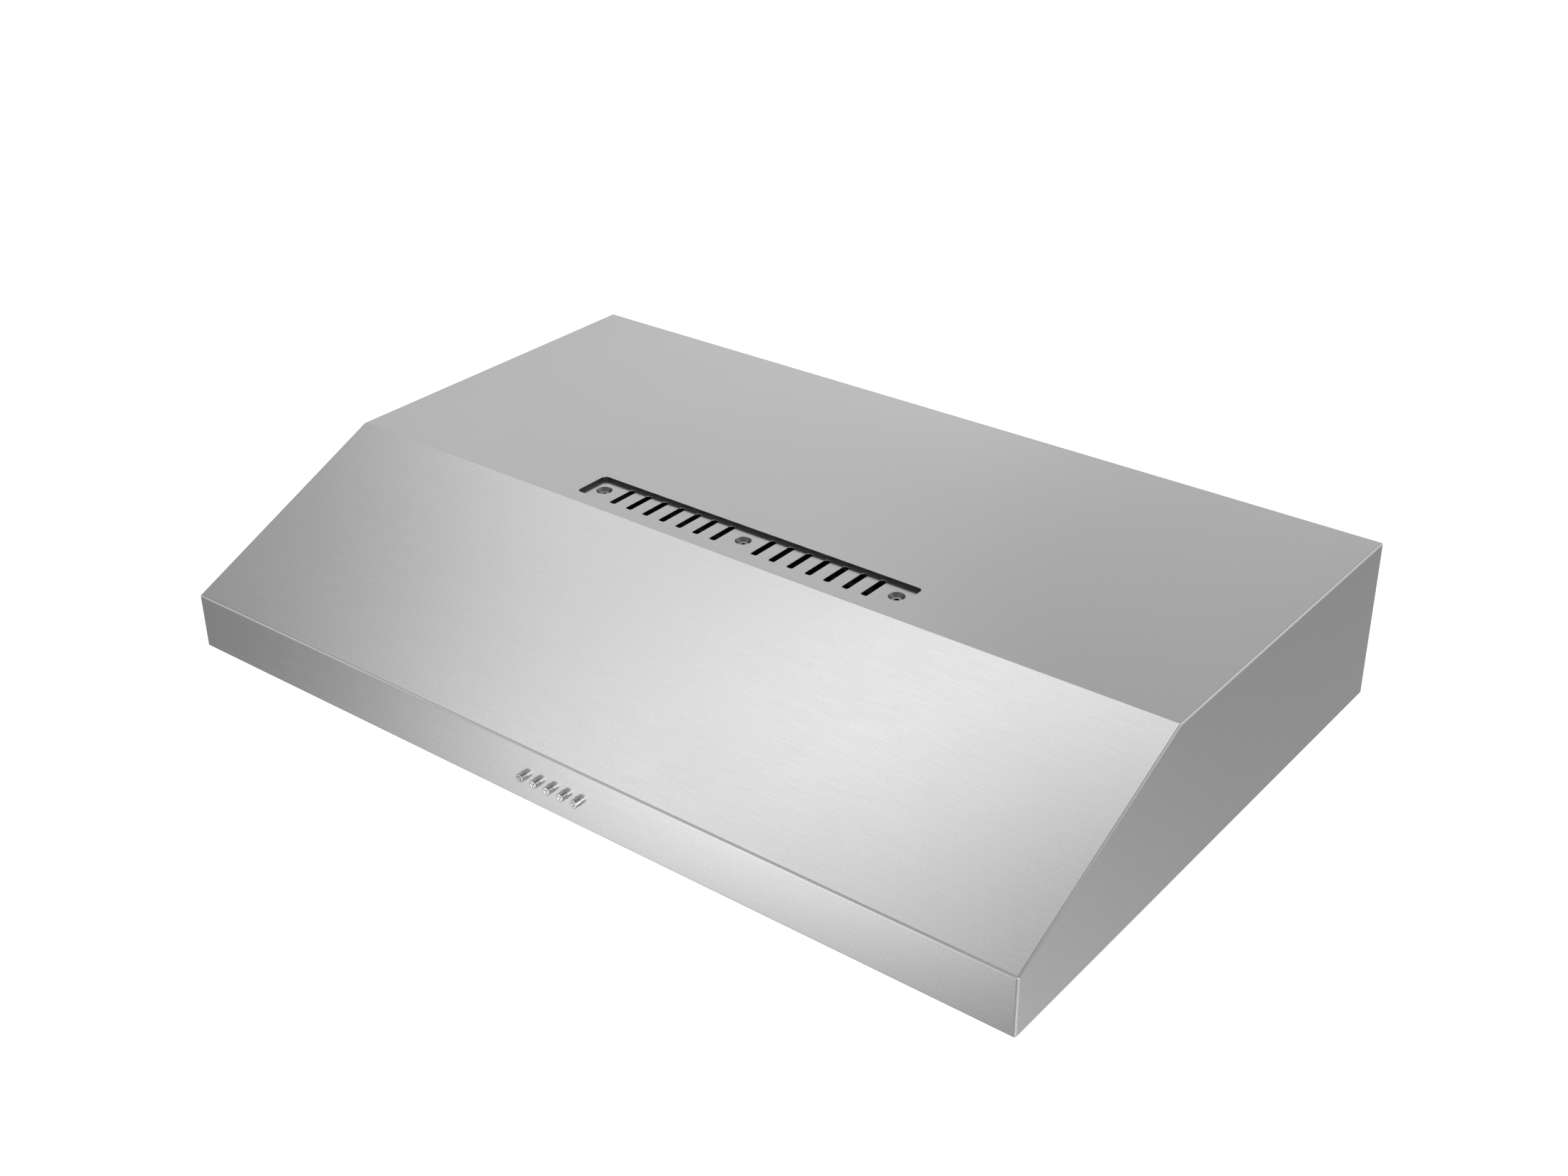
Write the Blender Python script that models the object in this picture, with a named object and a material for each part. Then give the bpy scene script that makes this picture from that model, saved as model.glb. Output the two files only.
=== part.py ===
# Under-cabinet range hood, 30 inch class: folded sheet-metal canopy, underside pan with two
# swing-down grease filters and two lamps, five push buttons, and a twin-wheel blower that
# discharges through the slotted recess in the top.
#
# Axes: +X to the viewer's right, +Y to the wall, +Z up. Origin: centre of the flat top face.
# Lengths below are millimetres; MM turns them into Blender's metres.

import math

import bmesh
import bpy
from mathutils import Matrix, Vector

MM = 0.001

# ---- driving dimensions ----
WIDTH = 759.0            # 29-7/8 in
TOP_DEPTH = 305.0        # 12 in, the depth of a wall cabinet
DEPTH = 488.0            # wall to front band
HEIGHT = 128.0
BAND_TOP = -82.5         # height at which the sloping panel meets the front band
SHEET = 0.9              # canopy sheet thickness
GAP = 0.3                # clearance between pieces that touch
BEND = 2.2               # outer bend radius

HALF = WIDTH / 2
REAR = TOP_DEPTH / 2
KNEE = -TOP_DEPTH / 2    # bend between the top and the sloping panel
FRONT = REAR - DEPTH     # outer face of the front band

# pressed recess in the top, with the outlet slots and three screw dimples
RECESS_HALF = 151.5
RECESS_BACK, RECESS_FRONT = -106.4, -138.9
RECESS_DEEP, RECESS_R = 3.3, 4.3
SLOT_FIRST, SLOT_PITCH, SLOTS_A_SIDE = 19.7, 16.6, 7
SLOT_W, SLOT_BACK, SLOT_FRONT = 5.5, -108.0, -134.6
DIMPLE_X, DIMPLE_Y = 139.0, -121.2

# push buttons
BUTTONS, BUTTON_PITCH, BUTTON_Z = 5, 12.85, -107.0
BUTTON_R, BUTTON_OUT, BUTTON_TRAVEL = 3.25, 5.2, 3.0

# underside
LIP_Z, LIP_W = -126.3, 12.0          # turned-in lips carry the pan
PAN_Z = -125.1
FILTER_IN, FILTER_OUT = 12.0, 344.0  # each filter spans these distances from the middle
FILTER_FRONT, FILTER_REAR = -145.0, 108.0
FILTER_LOW, FILTER_T = -124.6, 8.0
HINGE_Y, HINGE_Z = 104.0, -120.6
LATCH_TRAVEL = 7.0
LAMP_X, LAMP_Y = 270.0, -235.0

# blower
AXIS_Y, AXIS_Z = -40.0, -62.0
SCROLL_IN, SCROLL_OUT = 42.0, 122.0
SCROLL_R0, SCROLL_R1, CUTOFF = 46.0, 58.0, 150.0
OUTLET_Y = -96.0
WHEEL_IN, WHEEL_OUT, WHEEL_R, BLADES = 47.0, 114.0, 42.0, 26

# rear outlet, 3-1/4 x 10 in, closed by a plate
DUCT_W, DUCT_H, DUCT_Z = 254.0, 83.0, -62.0

FINISH = {
    "steel": ((0.62, 0.61, 0.59), 0.32, 1.0),
    "zinc": ((0.55, 0.56, 0.57), 0.45, 1.0),
    "aluminium": ((0.70, 0.71, 0.72), 0.38, 1.0),
    "chrome": ((0.80, 0.80, 0.81), 0.10, 1.0),
    "black": ((0.03, 0.03, 0.032), 0.50, 0.0),
    "white": ((0.80, 0.80, 0.78), 0.45, 0.0),
    "charcoal": ((0.02, 0.02, 0.02), 0.90, 0.0),
    "lens": ((0.92, 0.92, 0.88), 0.25, 0.0),
    "grey": ((0.30, 0.31, 0.32), 0.55, 0.0),
}

for old in list(bpy.data.objects):
    bpy.data.objects.remove(old, do_unlink=True)


# ---- building helpers ----
def finish(obj, look):
    colour, rough, metal = FINISH[look]
    mat = bpy.data.materials.new(obj.name + "_finish")
    mat.use_nodes = True
    shader = mat.node_tree.nodes["Principled BSDF"]
    shader.inputs["Base Color"].default_value = (*colour, 1.0)
    shader.inputs["Roughness"].default_value = rough
    shader.inputs["Metallic"].default_value = metal
    mat.diffuse_color = (*colour, 1.0)
    obj.data.materials.append(mat)


def to_object(name, bm, look=None):
    """An object from a bmesh in millimetres. Without a look it is a hidden helper."""
    bmesh.ops.recalc_face_normals(bm, faces=bm.faces)
    bmesh.ops.scale(bm, vec=(MM, MM, MM), verts=bm.verts)
    mesh = bpy.data.meshes.new(name)
    bm.to_mesh(mesh)
    bm.free()
    obj = bpy.data.objects.new(name, mesh)
    bpy.context.scene.collection.objects.link(obj)
    if look is None:
        obj.hide_render = True
        obj.display_type = "WIRE"
    else:
        finish(obj, look)
    return obj


def place(axis, u, v, w):
    """A point from its two outline coordinates and its position along the axis."""
    return {"X": (w, u, v), "Y": (u, w, v), "Z": (u, v, w)}[axis]


def add_prism(bm, outline, axis, lo, hi):
    verts = [bm.verts.new(place(axis, u, v, lo)) for u, v in outline]
    face = bm.faces.new(verts)
    grown = bmesh.ops.extrude_face_region(bm, geom=[face])["geom"]
    moved = [g for g in grown if isinstance(g, bmesh.types.BMVert)]
    bmesh.ops.translate(bm, verts=moved, vec=place(axis, 0.0, 0.0, hi - lo))


def prism(name, outline, axis, lo, hi, look=None):
    bm = bmesh.new()
    add_prism(bm, outline, axis, lo, hi)
    return to_object(name, bm, look)


def prisms(name, parts, look=None):
    """Several prisms that stay apart from one another, in one object."""
    bm = bmesh.new()
    for outline, axis, lo, hi in parts:
        add_prism(bm, outline, axis, lo, hi)
    return to_object(name, bm, look)


def rect(u0, v0, u1, v1):
    return [(u0, v0), (u1, v0), (u1, v1), (u0, v1)]


def round_rect(u0, v0, u1, v1, r, steps=4):
    out = []
    for cu, cv, start in ((u1 - r, v1 - r, 0), (u0 + r, v1 - r, 90), (u0 + r, v0 + r, 180), (u1 - r, v0 + r, 270)):
        for i in range(steps + 1):
            a = math.radians(start + 90 * i / steps)
            out.append((cu + r * math.cos(a), cv + r * math.sin(a)))
    return out


def circle(cu, cv, r, steps=24):
    return [(cu + r * math.cos(2 * math.pi * i / steps), cv + r * math.sin(2 * math.pi * i / steps)) for i in range(steps)]


def box(name, x0, y0, z0, x1, y1, z1, look=None):
    return prism(name, rect(x0, y0, x1, y1), "Z", z0, z1, look)


def turned(name, profile, axis, centre, steps, look=None, closed=False):
    """A turned body. profile is (radius, along) pairs; an open one starts and ends on the axis."""
    bm = bmesh.new()
    cu, cv = centre
    rings = []
    for r, w in profile:
        if r < 1e-6:
            rings.append([bm.verts.new(place(axis, cu, cv, w))])
        else:
            rings.append([bm.verts.new(place(axis, u, v, w)) for u, v in circle(cu, cv, r, steps)])
    pairs = list(zip(rings, rings[1:]))
    if closed:
        pairs.append((rings[-1], rings[0]))
    for a, b in pairs:
        for i in range(steps):
            j = (i + 1) % steps
            quad = [a[i % len(a)], a[j % len(a)], b[j % len(b)], b[i % len(b)]]
            corner = list(dict.fromkeys(quad))
            if len(corner) > 2:
                bm.faces.new(corner)
    obj = to_object(name, bm, look)
    if look is not None:
        obj.data.shade_smooth()
        obj.data.set_sharp_from_angle(angle=math.radians(35))
    return obj


def boolean(obj, other, operation):
    mod = obj.modifiers.new(other.name, "BOOLEAN")
    mod.object = other
    mod.operation = operation
    mod.solver = "EXACT"
    if not other.hide_render:
        other.hide_render = True
        other.display_type = "WIRE"


def cut(obj, other):
    boolean(obj, other, "DIFFERENCE")


def join(obj, other):
    boolean(obj, other, "UNION")


def origin_at(obj, x, y, z):
    """Moves the object's origin onto its joint axis and leaves its shape where it is."""
    point = Vector((x, y, z)) * MM
    obj.data.transform(Matrix.Translation(-point))
    obj.location = point


def offset_path(points, radii, thick, steps=5):
    """The outline of a folded sheet: a path of outer corners rounded at its bends, and the same path one thickness in."""
    outer, inner = [], []
    for i, (p, r) in enumerate(zip(points, radii)):
        p = Vector(p)
        if i in (0, len(points) - 1):
            q = Vector(points[1 if i == 0 else i - 1])
            d = (q - p).normalized() if i == 0 else (p - q).normalized()
            n = Vector((d.y, -d.x))
            outer.append(p)
            inner.append(p - n * thick)
            continue
        d0 = (p - Vector(points[i - 1])).normalized()
        d1 = (Vector(points[i + 1]) - p).normalized()
        turn = d0.angle_signed(d1)
        back = r * math.tan(abs(turn) / 2)
        n0, n1 = Vector((d0.y, -d0.x)), Vector((d1.y, -d1.x))
        centre = p - d0 * back - n0 * r
        a0 = math.atan2(n0.y, n0.x)
        sweep = -turn
        for k in range(steps + 1):
            a = a0 + sweep * k / steps
            n = Vector((math.cos(a), math.sin(a)))
            outer.append(centre + n * r)
            inner.append(centre + n * (r - thick))
    return [tuple(v) for v in outer] + [tuple(v) for v in reversed(inner)]


# ---- canopy: top, sloping panel and front band in one folded sheet ----
skin = [(REAR, 0.0), (KNEE, 0.0), (FRONT, BAND_TOP), (FRONT, -HEIGHT)]


def folded(points, radii, thick):
    """Folded sheet along the skin; outward is up and forward."""
    return offset_path([(y, z) for y, z in points], radii, thick)


shell = prism("canopy_shell", folded(skin, (0, BEND, BEND, 0), SHEET), "X", -HALF, HALF, "steel")
join(shell, prism("front_lip", rect(FRONT + 0.3, LIP_Z, FRONT + 14.5, LIP_Z + SHEET), "X", -HALF + 14, HALF - 14))
recess_outer = round_rect(-RECESS_HALF - SHEET, RECESS_FRONT - SHEET, RECESS_HALF + SHEET, RECESS_BACK + SHEET, RECESS_R + SHEET)
recess_inner = round_rect(-RECESS_HALF, RECESS_FRONT, RECESS_HALF, RECESS_BACK, RECESS_R)
join(shell, prism("recess_block", recess_outer, "Z", -RECESS_DEEP - SHEET, -0.4))
for n, x in enumerate((-DIMPLE_X, 0.0, DIMPLE_X)):
    join(shell, turned(f"dimple_block_{n}", [(0, -7.3), (4.7, -7.3), (7.2, -3.6), (0, -3.6)], "Z", (x, DIMPLE_Y), 20))
cut(shell, prism("recess_space", recess_inner, "Z", -RECESS_DEEP, 3.0))
for n, x in enumerate((-DIMPLE_X, 0.0, DIMPLE_X)):
    cut(shell, turned(f"dimple_space_{n}", [(0, -9.0), (2.0, -9.0), (2.0, -6.4), (3.75, -6.4), (6.25, -RECESS_DEEP), (6.25, 2.0), (0, 2.0)], "Z", (x, DIMPLE_Y), 20))
slot_x = [side * (SLOT_FIRST + SLOT_PITCH * k) for side in (-1, 1) for k in range(SLOTS_A_SIDE)]
cut(shell, prisms("outlet_slots", [
    (round_rect(x - SLOT_W / 2, SLOT_FRONT, x + SLOT_W / 2, SLOT_BACK, 2.0, 3), "Z", -8.0, 2.0) for x in slot_x]))
button_x = [BUTTON_PITCH * (n - (BUTTONS - 1) / 2) for n in range(BUTTONS)]
cut(shell, prisms("button_holes", [(circle(x, BUTTON_Z, BUTTON_R + 0.3, 20), "Y", FRONT - 3, FRONT + 3) for x in button_x]))
PAN_SCREWS = [(-300, FRONT + 8.5), (0, FRONT + 8.5), (300, FRONT + 8.5), (-300, REAR - 8.0), (0, REAR - 8.0), (300, REAR - 8.0)]
cut(shell, prisms("front_lip_screw_holes", [(circle(x, y, 2.1, 10), "Z", LIP_Z - 2, LIP_Z + 2) for x, y in PAN_SCREWS[:3]]))

# ---- side panels: a flat end with a flange turned in along its top, slope, front and foot ----
inside = SHEET + GAP
slope_len = math.hypot(KNEE - FRONT, BAND_TOP)
shift = inside * math.tan(math.atan2(-BAND_TOP, KNEE - FRONT) / 2)
shift_front = inside * math.tan((math.pi / 2 - math.atan2(-BAND_TOP, KNEE - FRONT)) / 2)
seam = [(REAR - 1.2, -inside), (KNEE + shift, -inside), (FRONT + inside, BAND_TOP - shift_front), (FRONT + inside, -HEIGHT)]


def side_panel(name, sign):
    plate_path = folded(seam, (0, 1.3, 1.3, 0), SHEET)
    outline = [(REAR, -inside), (KNEE + shift, -inside), (FRONT + inside, BAND_TOP - shift_front), (FRONT + inside, -HEIGHT), (REAR, -HEIGHT)]
    lo, hi = sorted((sign * HALF, sign * (HALF - SHEET)))
    panel = prism(name, outline, "X", lo, hi, "steel")
    lo, hi = sorted((sign * (HALF - 0.4), sign * (HALF - LIP_W)))
    join(panel, prism(name + "_flange", plate_path, "X", lo, hi))
    join(panel, prism(name + "_foot", rect(FRONT + inside + 0.3, LIP_Z, REAR - 1.4, LIP_Z + SHEET), "X", lo, hi))
    return panel


side_panel("left_side_panel", -1)
side_panel("right_side_panel", 1)

# ---- back panel: flat sheet with lips, rear outlet, cable hole and two keyholes ----
back_x = HALF - SHEET - GAP
back = prism("back_panel", rect(REAR - SHEET, -HEIGHT, REAR, -inside), "X", -back_x, back_x, "zinc")
join(back, prism("back_lips", rect(REAR - 14.5, LIP_Z, REAR - 0.3, LIP_Z + SHEET), "X", -HALF + 14, HALF - 14))
join(back, prism("back_top_lip", rect(REAR - 14.5, -inside - SHEET, REAR - 0.3, -inside), "X", -HALF + 14, HALF - 14))
cut(back, prism("rear_outlet", round_rect(-DUCT_W / 2, DUCT_Z - DUCT_H / 2, DUCT_W / 2, DUCT_Z + DUCT_H / 2, 3, 2), "Y", REAR - 4, REAR + 4))
GLAND_X, GLAND_Z = -305.0, -28.0
cut(back, prism("cable_hole", circle(GLAND_X, GLAND_Z, 10.4, 24), "Y", REAR - 4, REAR + 4))
for n, x in enumerate((-205.0, 205.0)):
    key = circle(x, -50.0, 5.0, 20)
    # keyhole: a round head hole that opens upward into a slot
    cut(back, prism(f"keyhole_head_{n}", key, "Y", REAR - 4, REAR + 4))
    cut(back, prism(f"keyhole_slot_{n}", round_rect(x - 2.6, -52.0, x + 2.6, -34.0, 2.5, 4), "Y", REAR - 5, REAR + 5))
duct_screws = [(sx * (DUCT_W / 2 + 9), DUCT_Z + sz * (DUCT_H / 2 - 8)) for sx in (-1, 1) for sz in (-1, 1)]
cut(back, prisms("duct_cover_holes", [(circle(x, z, 2.1, 10), "Y", REAR - 4, REAR + 4) for x, z in duct_screws]))
cut(back, prisms("back_lip_screw_holes", [(circle(x, y, 2.1, 10), "Z", LIP_Z - 2, LIP_Z + 2) for x, y in PAN_SCREWS[3:]]))

cover = prism("rear_duct_cover", round_rect(-DUCT_W / 2 - 18, DUCT_Z - DUCT_H / 2 - 7, DUCT_W / 2 + 18, DUCT_Z + DUCT_H / 2 + 7, 3, 2),
              "Y", REAR - SHEET - GAP - 1.0, REAR - SHEET - GAP, "zinc")
cut(cover, prisms("cover_screw_holes", [(circle(x, z, 2.1, 10), "Y", REAR - 6, REAR + 2) for x, z in duct_screws]))
for n, (x, z) in enumerate(duct_screws, 1):
    y = REAR - SHEET - 2 * GAP - 1.0
    turned(f"duct_cover_screw_{n}", [(0, y - 2.2), (2.6, y - 2.2), (3.6, y - 1.2), (3.6, y), (1.7, y), (1.7, REAR - 0.3), (0, REAR - 0.3)],
           "Y", (x, z), 12, "zinc")

# ---- underside pan ----
pan = box("underside_pan", -376.0, FRONT + 4.0, PAN_Z, 376.0, REAR - 3.5, PAN_Z + SHEET, "steel")
pan_holes = []
for s in (-1, 1):
    x0, x1 = sorted((s * (FILTER_IN - 2), s * (FILTER_OUT + 2)))
    pan_holes.append((round_rect(x0, FILTER_FRONT - 2.2, x1, FILTER_REAR + 3.0, 2.5, 2), "Z", PAN_Z - 3, PAN_Z + 3))
    pan_holes.append((circle(s * LAMP_X, LAMP_Y, 30.6, 36), "Z", PAN_Z - 3, PAN_Z + 3))
pan_holes += [(circle(x, y, 2.1, 10), "Z", PAN_Z - 3, PAN_Z + 3) for x, y in PAN_SCREWS]
cut(pan, prisms("pan_openings", pan_holes))
for n, (x, y) in enumerate(PAN_SCREWS, 1):
    z = LIP_Z - GAP
    turned(f"pan_screw_{n}", [(0, z - 1.3), (2.6, z - 1.3), (3.5, z - 0.6), (3.5, z), (1.7, z), (1.7, PAN_Z + 5.0), (0, PAN_Z + 6.0)],
           "Z", (x, y), 12, "zinc")


# ---- grease filters: channel frame, mesh pad and front latch, hinged at the rear ----
def grease_filter(side, s):
    x0, x1 = sorted((s * FILTER_IN, s * FILTER_OUT))
    mid = (x0 + x1) / 2
    y0, y1, z0, z1 = FILTER_FRONT, FILTER_REAR, FILTER_LOW, FILTER_LOW + FILTER_T
    frame = prism(f"{side}_filter_frame", round_rect(x0, y0, x1, y1, 2.5, 2), "Z", z0, z1, "aluminium")
    cut(frame, prism(f"{side}_channel", rect(x0 + 1.0, y0 + 1.0, x1 - 1.0, y1 - 1.0), "Z", z0 + 0.9, z1 - 0.9))
    cut(frame, prism(f"{side}_window", round_rect(x0 + 12, y0 + 12, x1 - 12, y1 - 12, 2, 1), "Z", z0 - 2, z1 + 2))
    cut(frame, box(f"{side}_latch_notch", mid - 10, y0 - 2, z0 - 2, mid + 10, y0 + 9, z0 + 5))
    for n, dx in enumerate((-110, 110)):
        # rear tabs rest on the pan and carry the swing
        join(frame, box(f"{side}_tab_{n}", mid + dx - 9, y1 - 0.8, PAN_Z + SHEET + 0.4, mid + dx + 9, y1 + 5.5, PAN_Z + SHEET + 1.4))
    mesh = box(f"{side}_filter_mesh", x0 + 1.3, y0 + 1.3, z0 + 1.2, x1 - 1.3, y1 - 1.3, z1 - 1.2, "aluminium")
    cut(mesh, box(f"{side}_mesh_notch", mid - 11.5, y0 - 2, z0 - 2, mid + 11.5, y0 + 10.5, z1 + 2))
    latch = box(f"{side}_filter_latch", mid - 24, y0 + 2.5, z0 - 1.5, mid + 24, y0 + 27, z0 - 0.3, "zinc")
    join(latch, box(f"{side}_latch_nose", mid - 9, y0 - 1.6, z0 - 1.5, mid + 9, y0 + 0.4, z0 + 4.0))
    join(latch, box(f"{side}_latch_bridge", mid - 9, y0 - 1.6, z0 - 1.5, mid + 9, y0 + 3.0, z0 - 0.3))
    join(latch, box(f"{side}_latch_grip", mid - 20, y0 + 20.0, z0 - 3.1, mid + 20, y0 + 22.2, z0 - 1.2))
    for piece in (frame, mesh):
        origin_at(piece, mid, HINGE_Y, HINGE_Z)
    origin_at(latch, mid, y0 + 14, z0 - 0.9)


grease_filter("left", -1)
grease_filter("right", 1)


# ---- lamps: cup held in the pan, lens below, light board inside ----
def lamp(side, s):
    z = PAN_Z - GAP
    turned(f"{side}_lamp_housing",
           [(28.3, z - 0.9), (36.0, z - 0.9), (36.0, z), (30.2, z), (30.2, z + 17), (0, z + 17), (0, z + 15.8), (29.0, z + 15.8), (29.0, z + 1.2), (28.3, z + 1.2)],
           "Z", (s * LAMP_X, LAMP_Y), 28, "steel", closed=True)
    turned(f"{side}_lamp_lens", [(0, z - 0.7), (27.9, z - 0.7), (27.9, z + 1.5), (0, z + 1.5)], "Z", (s * LAMP_X, LAMP_Y), 28, "lens")
    turned(f"{side}_led_board", [(0, z + 13.9), (28.0, z + 13.9), (28.0, z + 15.5), (0, z + 15.5)], "Z", (s * LAMP_X, LAMP_Y), 20, "white")


lamp("left", -1)
lamp("right", 1)
box("led_driver", 70, -300, PAN_Z + SHEET + GAP, 140, -262, PAN_Z + SHEET + GAP + 21, "white")

# ---- push buttons, their return springs and the switch block ----
BLOCK_FRONT, BLOCK_BACK = FRONT + SHEET + 0.6, FRONT + 28.5
block = box("switch_block", -36, BLOCK_FRONT, -117, 36, BLOCK_BACK, -93.5, "black")
cut(block, prisms("button_bores", [(circle(x, BUTTON_Z, 5.0, 20), "Y", BLOCK_FRONT - 2, FRONT + 26.0) for x in button_x]))


def coil(name, x, z, y0, y1, r, wire, turns, look):
    """A closed wire wound along Y, built as a swept ring of sides."""
    bm = bmesh.new()
    per, sides = 8, 4
    count = int(turns * per)
    rings = []
    for i in range(count + 1):
        a = 2 * math.pi * i / per
        c = Vector((x + r * math.cos(a), y0 + (y1 - y0) * i / count, z + r * math.sin(a)))
        tangent = Vector((-r * math.sin(a), (y1 - y0) / turns / (2 * math.pi), r * math.cos(a))).normalized()
        out = Vector((math.cos(a), 0, math.sin(a)))
        side = tangent.cross(out)
        rings.append([bm.verts.new(c + (out * math.cos(b) + side * math.sin(b)) * wire)
                      for b in (2 * math.pi * k / sides for k in range(sides))])
    for a, b in zip(rings, rings[1:]):
        for k in range(sides):
            bm.faces.new((a[k], a[(k + 1) % sides], b[(k + 1) % sides], b[k]))
    bm.faces.new(rings[0])
    bm.faces.new(rings[-1])
    obj = to_object(name, bm, look)
    obj.data.shade_smooth()
    return obj


for n, x in enumerate(button_x, 1):
    tip = FRONT - BUTTON_OUT
    inner = FRONT + SHEET + 0.4
    stem = FRONT + 13.0
    turned(f"button_{n}",
           [(0, tip), (BUTTON_R - 0.4, tip), (BUTTON_R, tip + 0.4), (BUTTON_R, inner), (4.5, inner), (4.5, inner + 1.4), (2.6, inner + 1.4), (2.6, stem), (0, stem)],
           "Y", (x, BUTTON_Z), 18, "chrome")
    origin_at(bpy.data.objects[f"button_{n}"], x, tip, BUTTON_Z)
    spring = coil(f"button_spring_{n}", x, BUTTON_Z, stem + 0.7, stem + 7.6, 2.6, 0.35, 3.5, "zinc")
    origin_at(spring, x, tip, BUTTON_Z)

bracket = prism("switch_bracket", [
    (BLOCK_BACK + GAP, PAN_Z + SHEET + GAP), (BLOCK_BACK + 22, PAN_Z + SHEET + GAP), (BLOCK_BACK + 22, PAN_Z + SHEET + GAP + 1.2),
    (BLOCK_BACK + GAP + 1.2, PAN_Z + SHEET + GAP + 1.2), (BLOCK_BACK + GAP + 1.2, -93.5), (BLOCK_BACK + GAP, -93.5)],
    "X", -46, 46, "zinc")


# ---- blower: two scroll housings beside one motor ----
def spiral(grow):
    """Scroll outline in the plane across the shaft, grown outward by a wall thickness."""
    points = []
    for i in range(31):
        a = CUTOFF + (450.0 - CUTOFF) * i / 30
        r = SCROLL_R0 + (SCROLL_R1 - SCROLL_R0) * i / 30 + grow
        points.append((AXIS_Y + r * math.cos(math.radians(a)), AXIS_Z + r * math.sin(math.radians(a))))
    return points


def scroll(side, s):
    wall = 1.2
    outer, inner = spiral(wall), spiral(0.0)
    tongue_out, tongue_in = outer[0][1] - 0.6, inner[0][1]
    outer = outer + [(OUTLET_Y, AXIS_Z + SCROLL_R1 + wall), (OUTLET_Y, tongue_out)]
    inner = inner + [(OUTLET_Y - 5, AXIS_Z + SCROLL_R1), (OUTLET_Y - 5, tongue_in)]
    lo, hi = sorted((s * SCROLL_IN, s * SCROLL_OUT))
    housing = prism(f"{side}_scroll_housing", outer, "X", lo, hi, "black")
    cut(housing, prism(f"{side}_scroll_space", inner, "X", lo + wall, hi - wall))
    lo2, hi2 = sorted((s * (SCROLL_OUT - 5), s * (SCROLL_OUT + 5)))
    cut(housing, prism(f"{side}_inlet", circle(AXIS_Y, AXIS_Z, 35.0, 40), "X", lo2, hi2))
    lo2, hi2 = sorted((s * (SCROLL_IN - 5), s * (SCROLL_IN + 4)))
    cut(housing, prism(f"{side}_shaft_hole", circle(AXIS_Y, AXIS_Z, 13.0, 24), "X", lo2, hi2))
    lo2, hi2 = sorted((s * (SCROLL_OUT + GAP), s * (SCROLL_OUT + 27)))
    turned(f"{side}_charcoal_filter",
           [(0, s * (SCROLL_OUT + 27)), (46, s * (SCROLL_OUT + 27)), (48, s * (SCROLL_OUT + 25)), (48, s * (SCROLL_OUT + GAP)),
            (37, s * (SCROLL_OUT + GAP)), (37, s * (SCROLL_OUT + 14)), (0, s * (SCROLL_OUT + 14))],
           "X", (AXIS_Y, AXIS_Z), 32, "charcoal")


scroll("left", -1)
scroll("right", 1)

plenum = box("discharge_plenum", -125.4, -143.5, -44.0, 125.4, OUTLET_Y - GAP, -RECESS_DEEP - SHEET - 0.4, "zinc")
cut(plenum, box("plenum_space", -124.4, -142.5, -43.0, 124.4, OUTLET_Y - GAP - 1.0, 5.0))
cut(plenum, prisms("plenum_inlets", [
    (rect(s * SCROLL_IN + s * 1.2 if s > 0 else -SCROLL_OUT + 1.2, -38.5, SCROLL_OUT - 1.2 if s > 0 else -SCROLL_IN - 1.2, -8.0), "Y", OUTLET_Y - 4, OUTLET_Y + 4)
    for s in (-1, 1)]))
# the middle dimple of the recess hangs into the open top of the plenum

saddle = prism("blower_bracket", [
    (-37.8, -106), (-37.8, -1.3), (37.8, -1.3), (37.8, -106), (36.6, -106), (36.6, -2.5), (-36.6, -2.5), (-36.6, -106)],
    "Y", -84, 4, "zinc")
cut(saddle, prism("motor_boss_holes", circle(AXIS_Y, AXIS_Z, 17.0, 24), "X", -60, 60))

turned("motor_body", [
    (4.4, -40.0), (13.0, -40.0), (13.0, -36.0), (16.2, -36.0), (16.2, -33.0), (33.0, -33.0), (38.0, -29.0), (38.0, -17.0), (39.5, -16.0),
    (39.5, 16.0), (38.0, 17.0), (38.0, 29.0), (33.0, 33.0), (16.2, 33.0), (16.2, 36.0), (13.0, 36.0), (13.0, 40.0), (4.4, 40.0)],
    "X", (AXIS_Y, AXIS_Z), 24, "aluminium", closed=True)
shaft = turned("rotor_shaft", [(0, -104), (3.6, -104), (4.0, -103.4), (4.0, 103.4), (3.6, 104), (0, 104)], "X", (AXIS_Y, AXIS_Z), 16, "chrome")
origin_at(shaft, 0, AXIS_Y, AXIS_Z)


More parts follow.
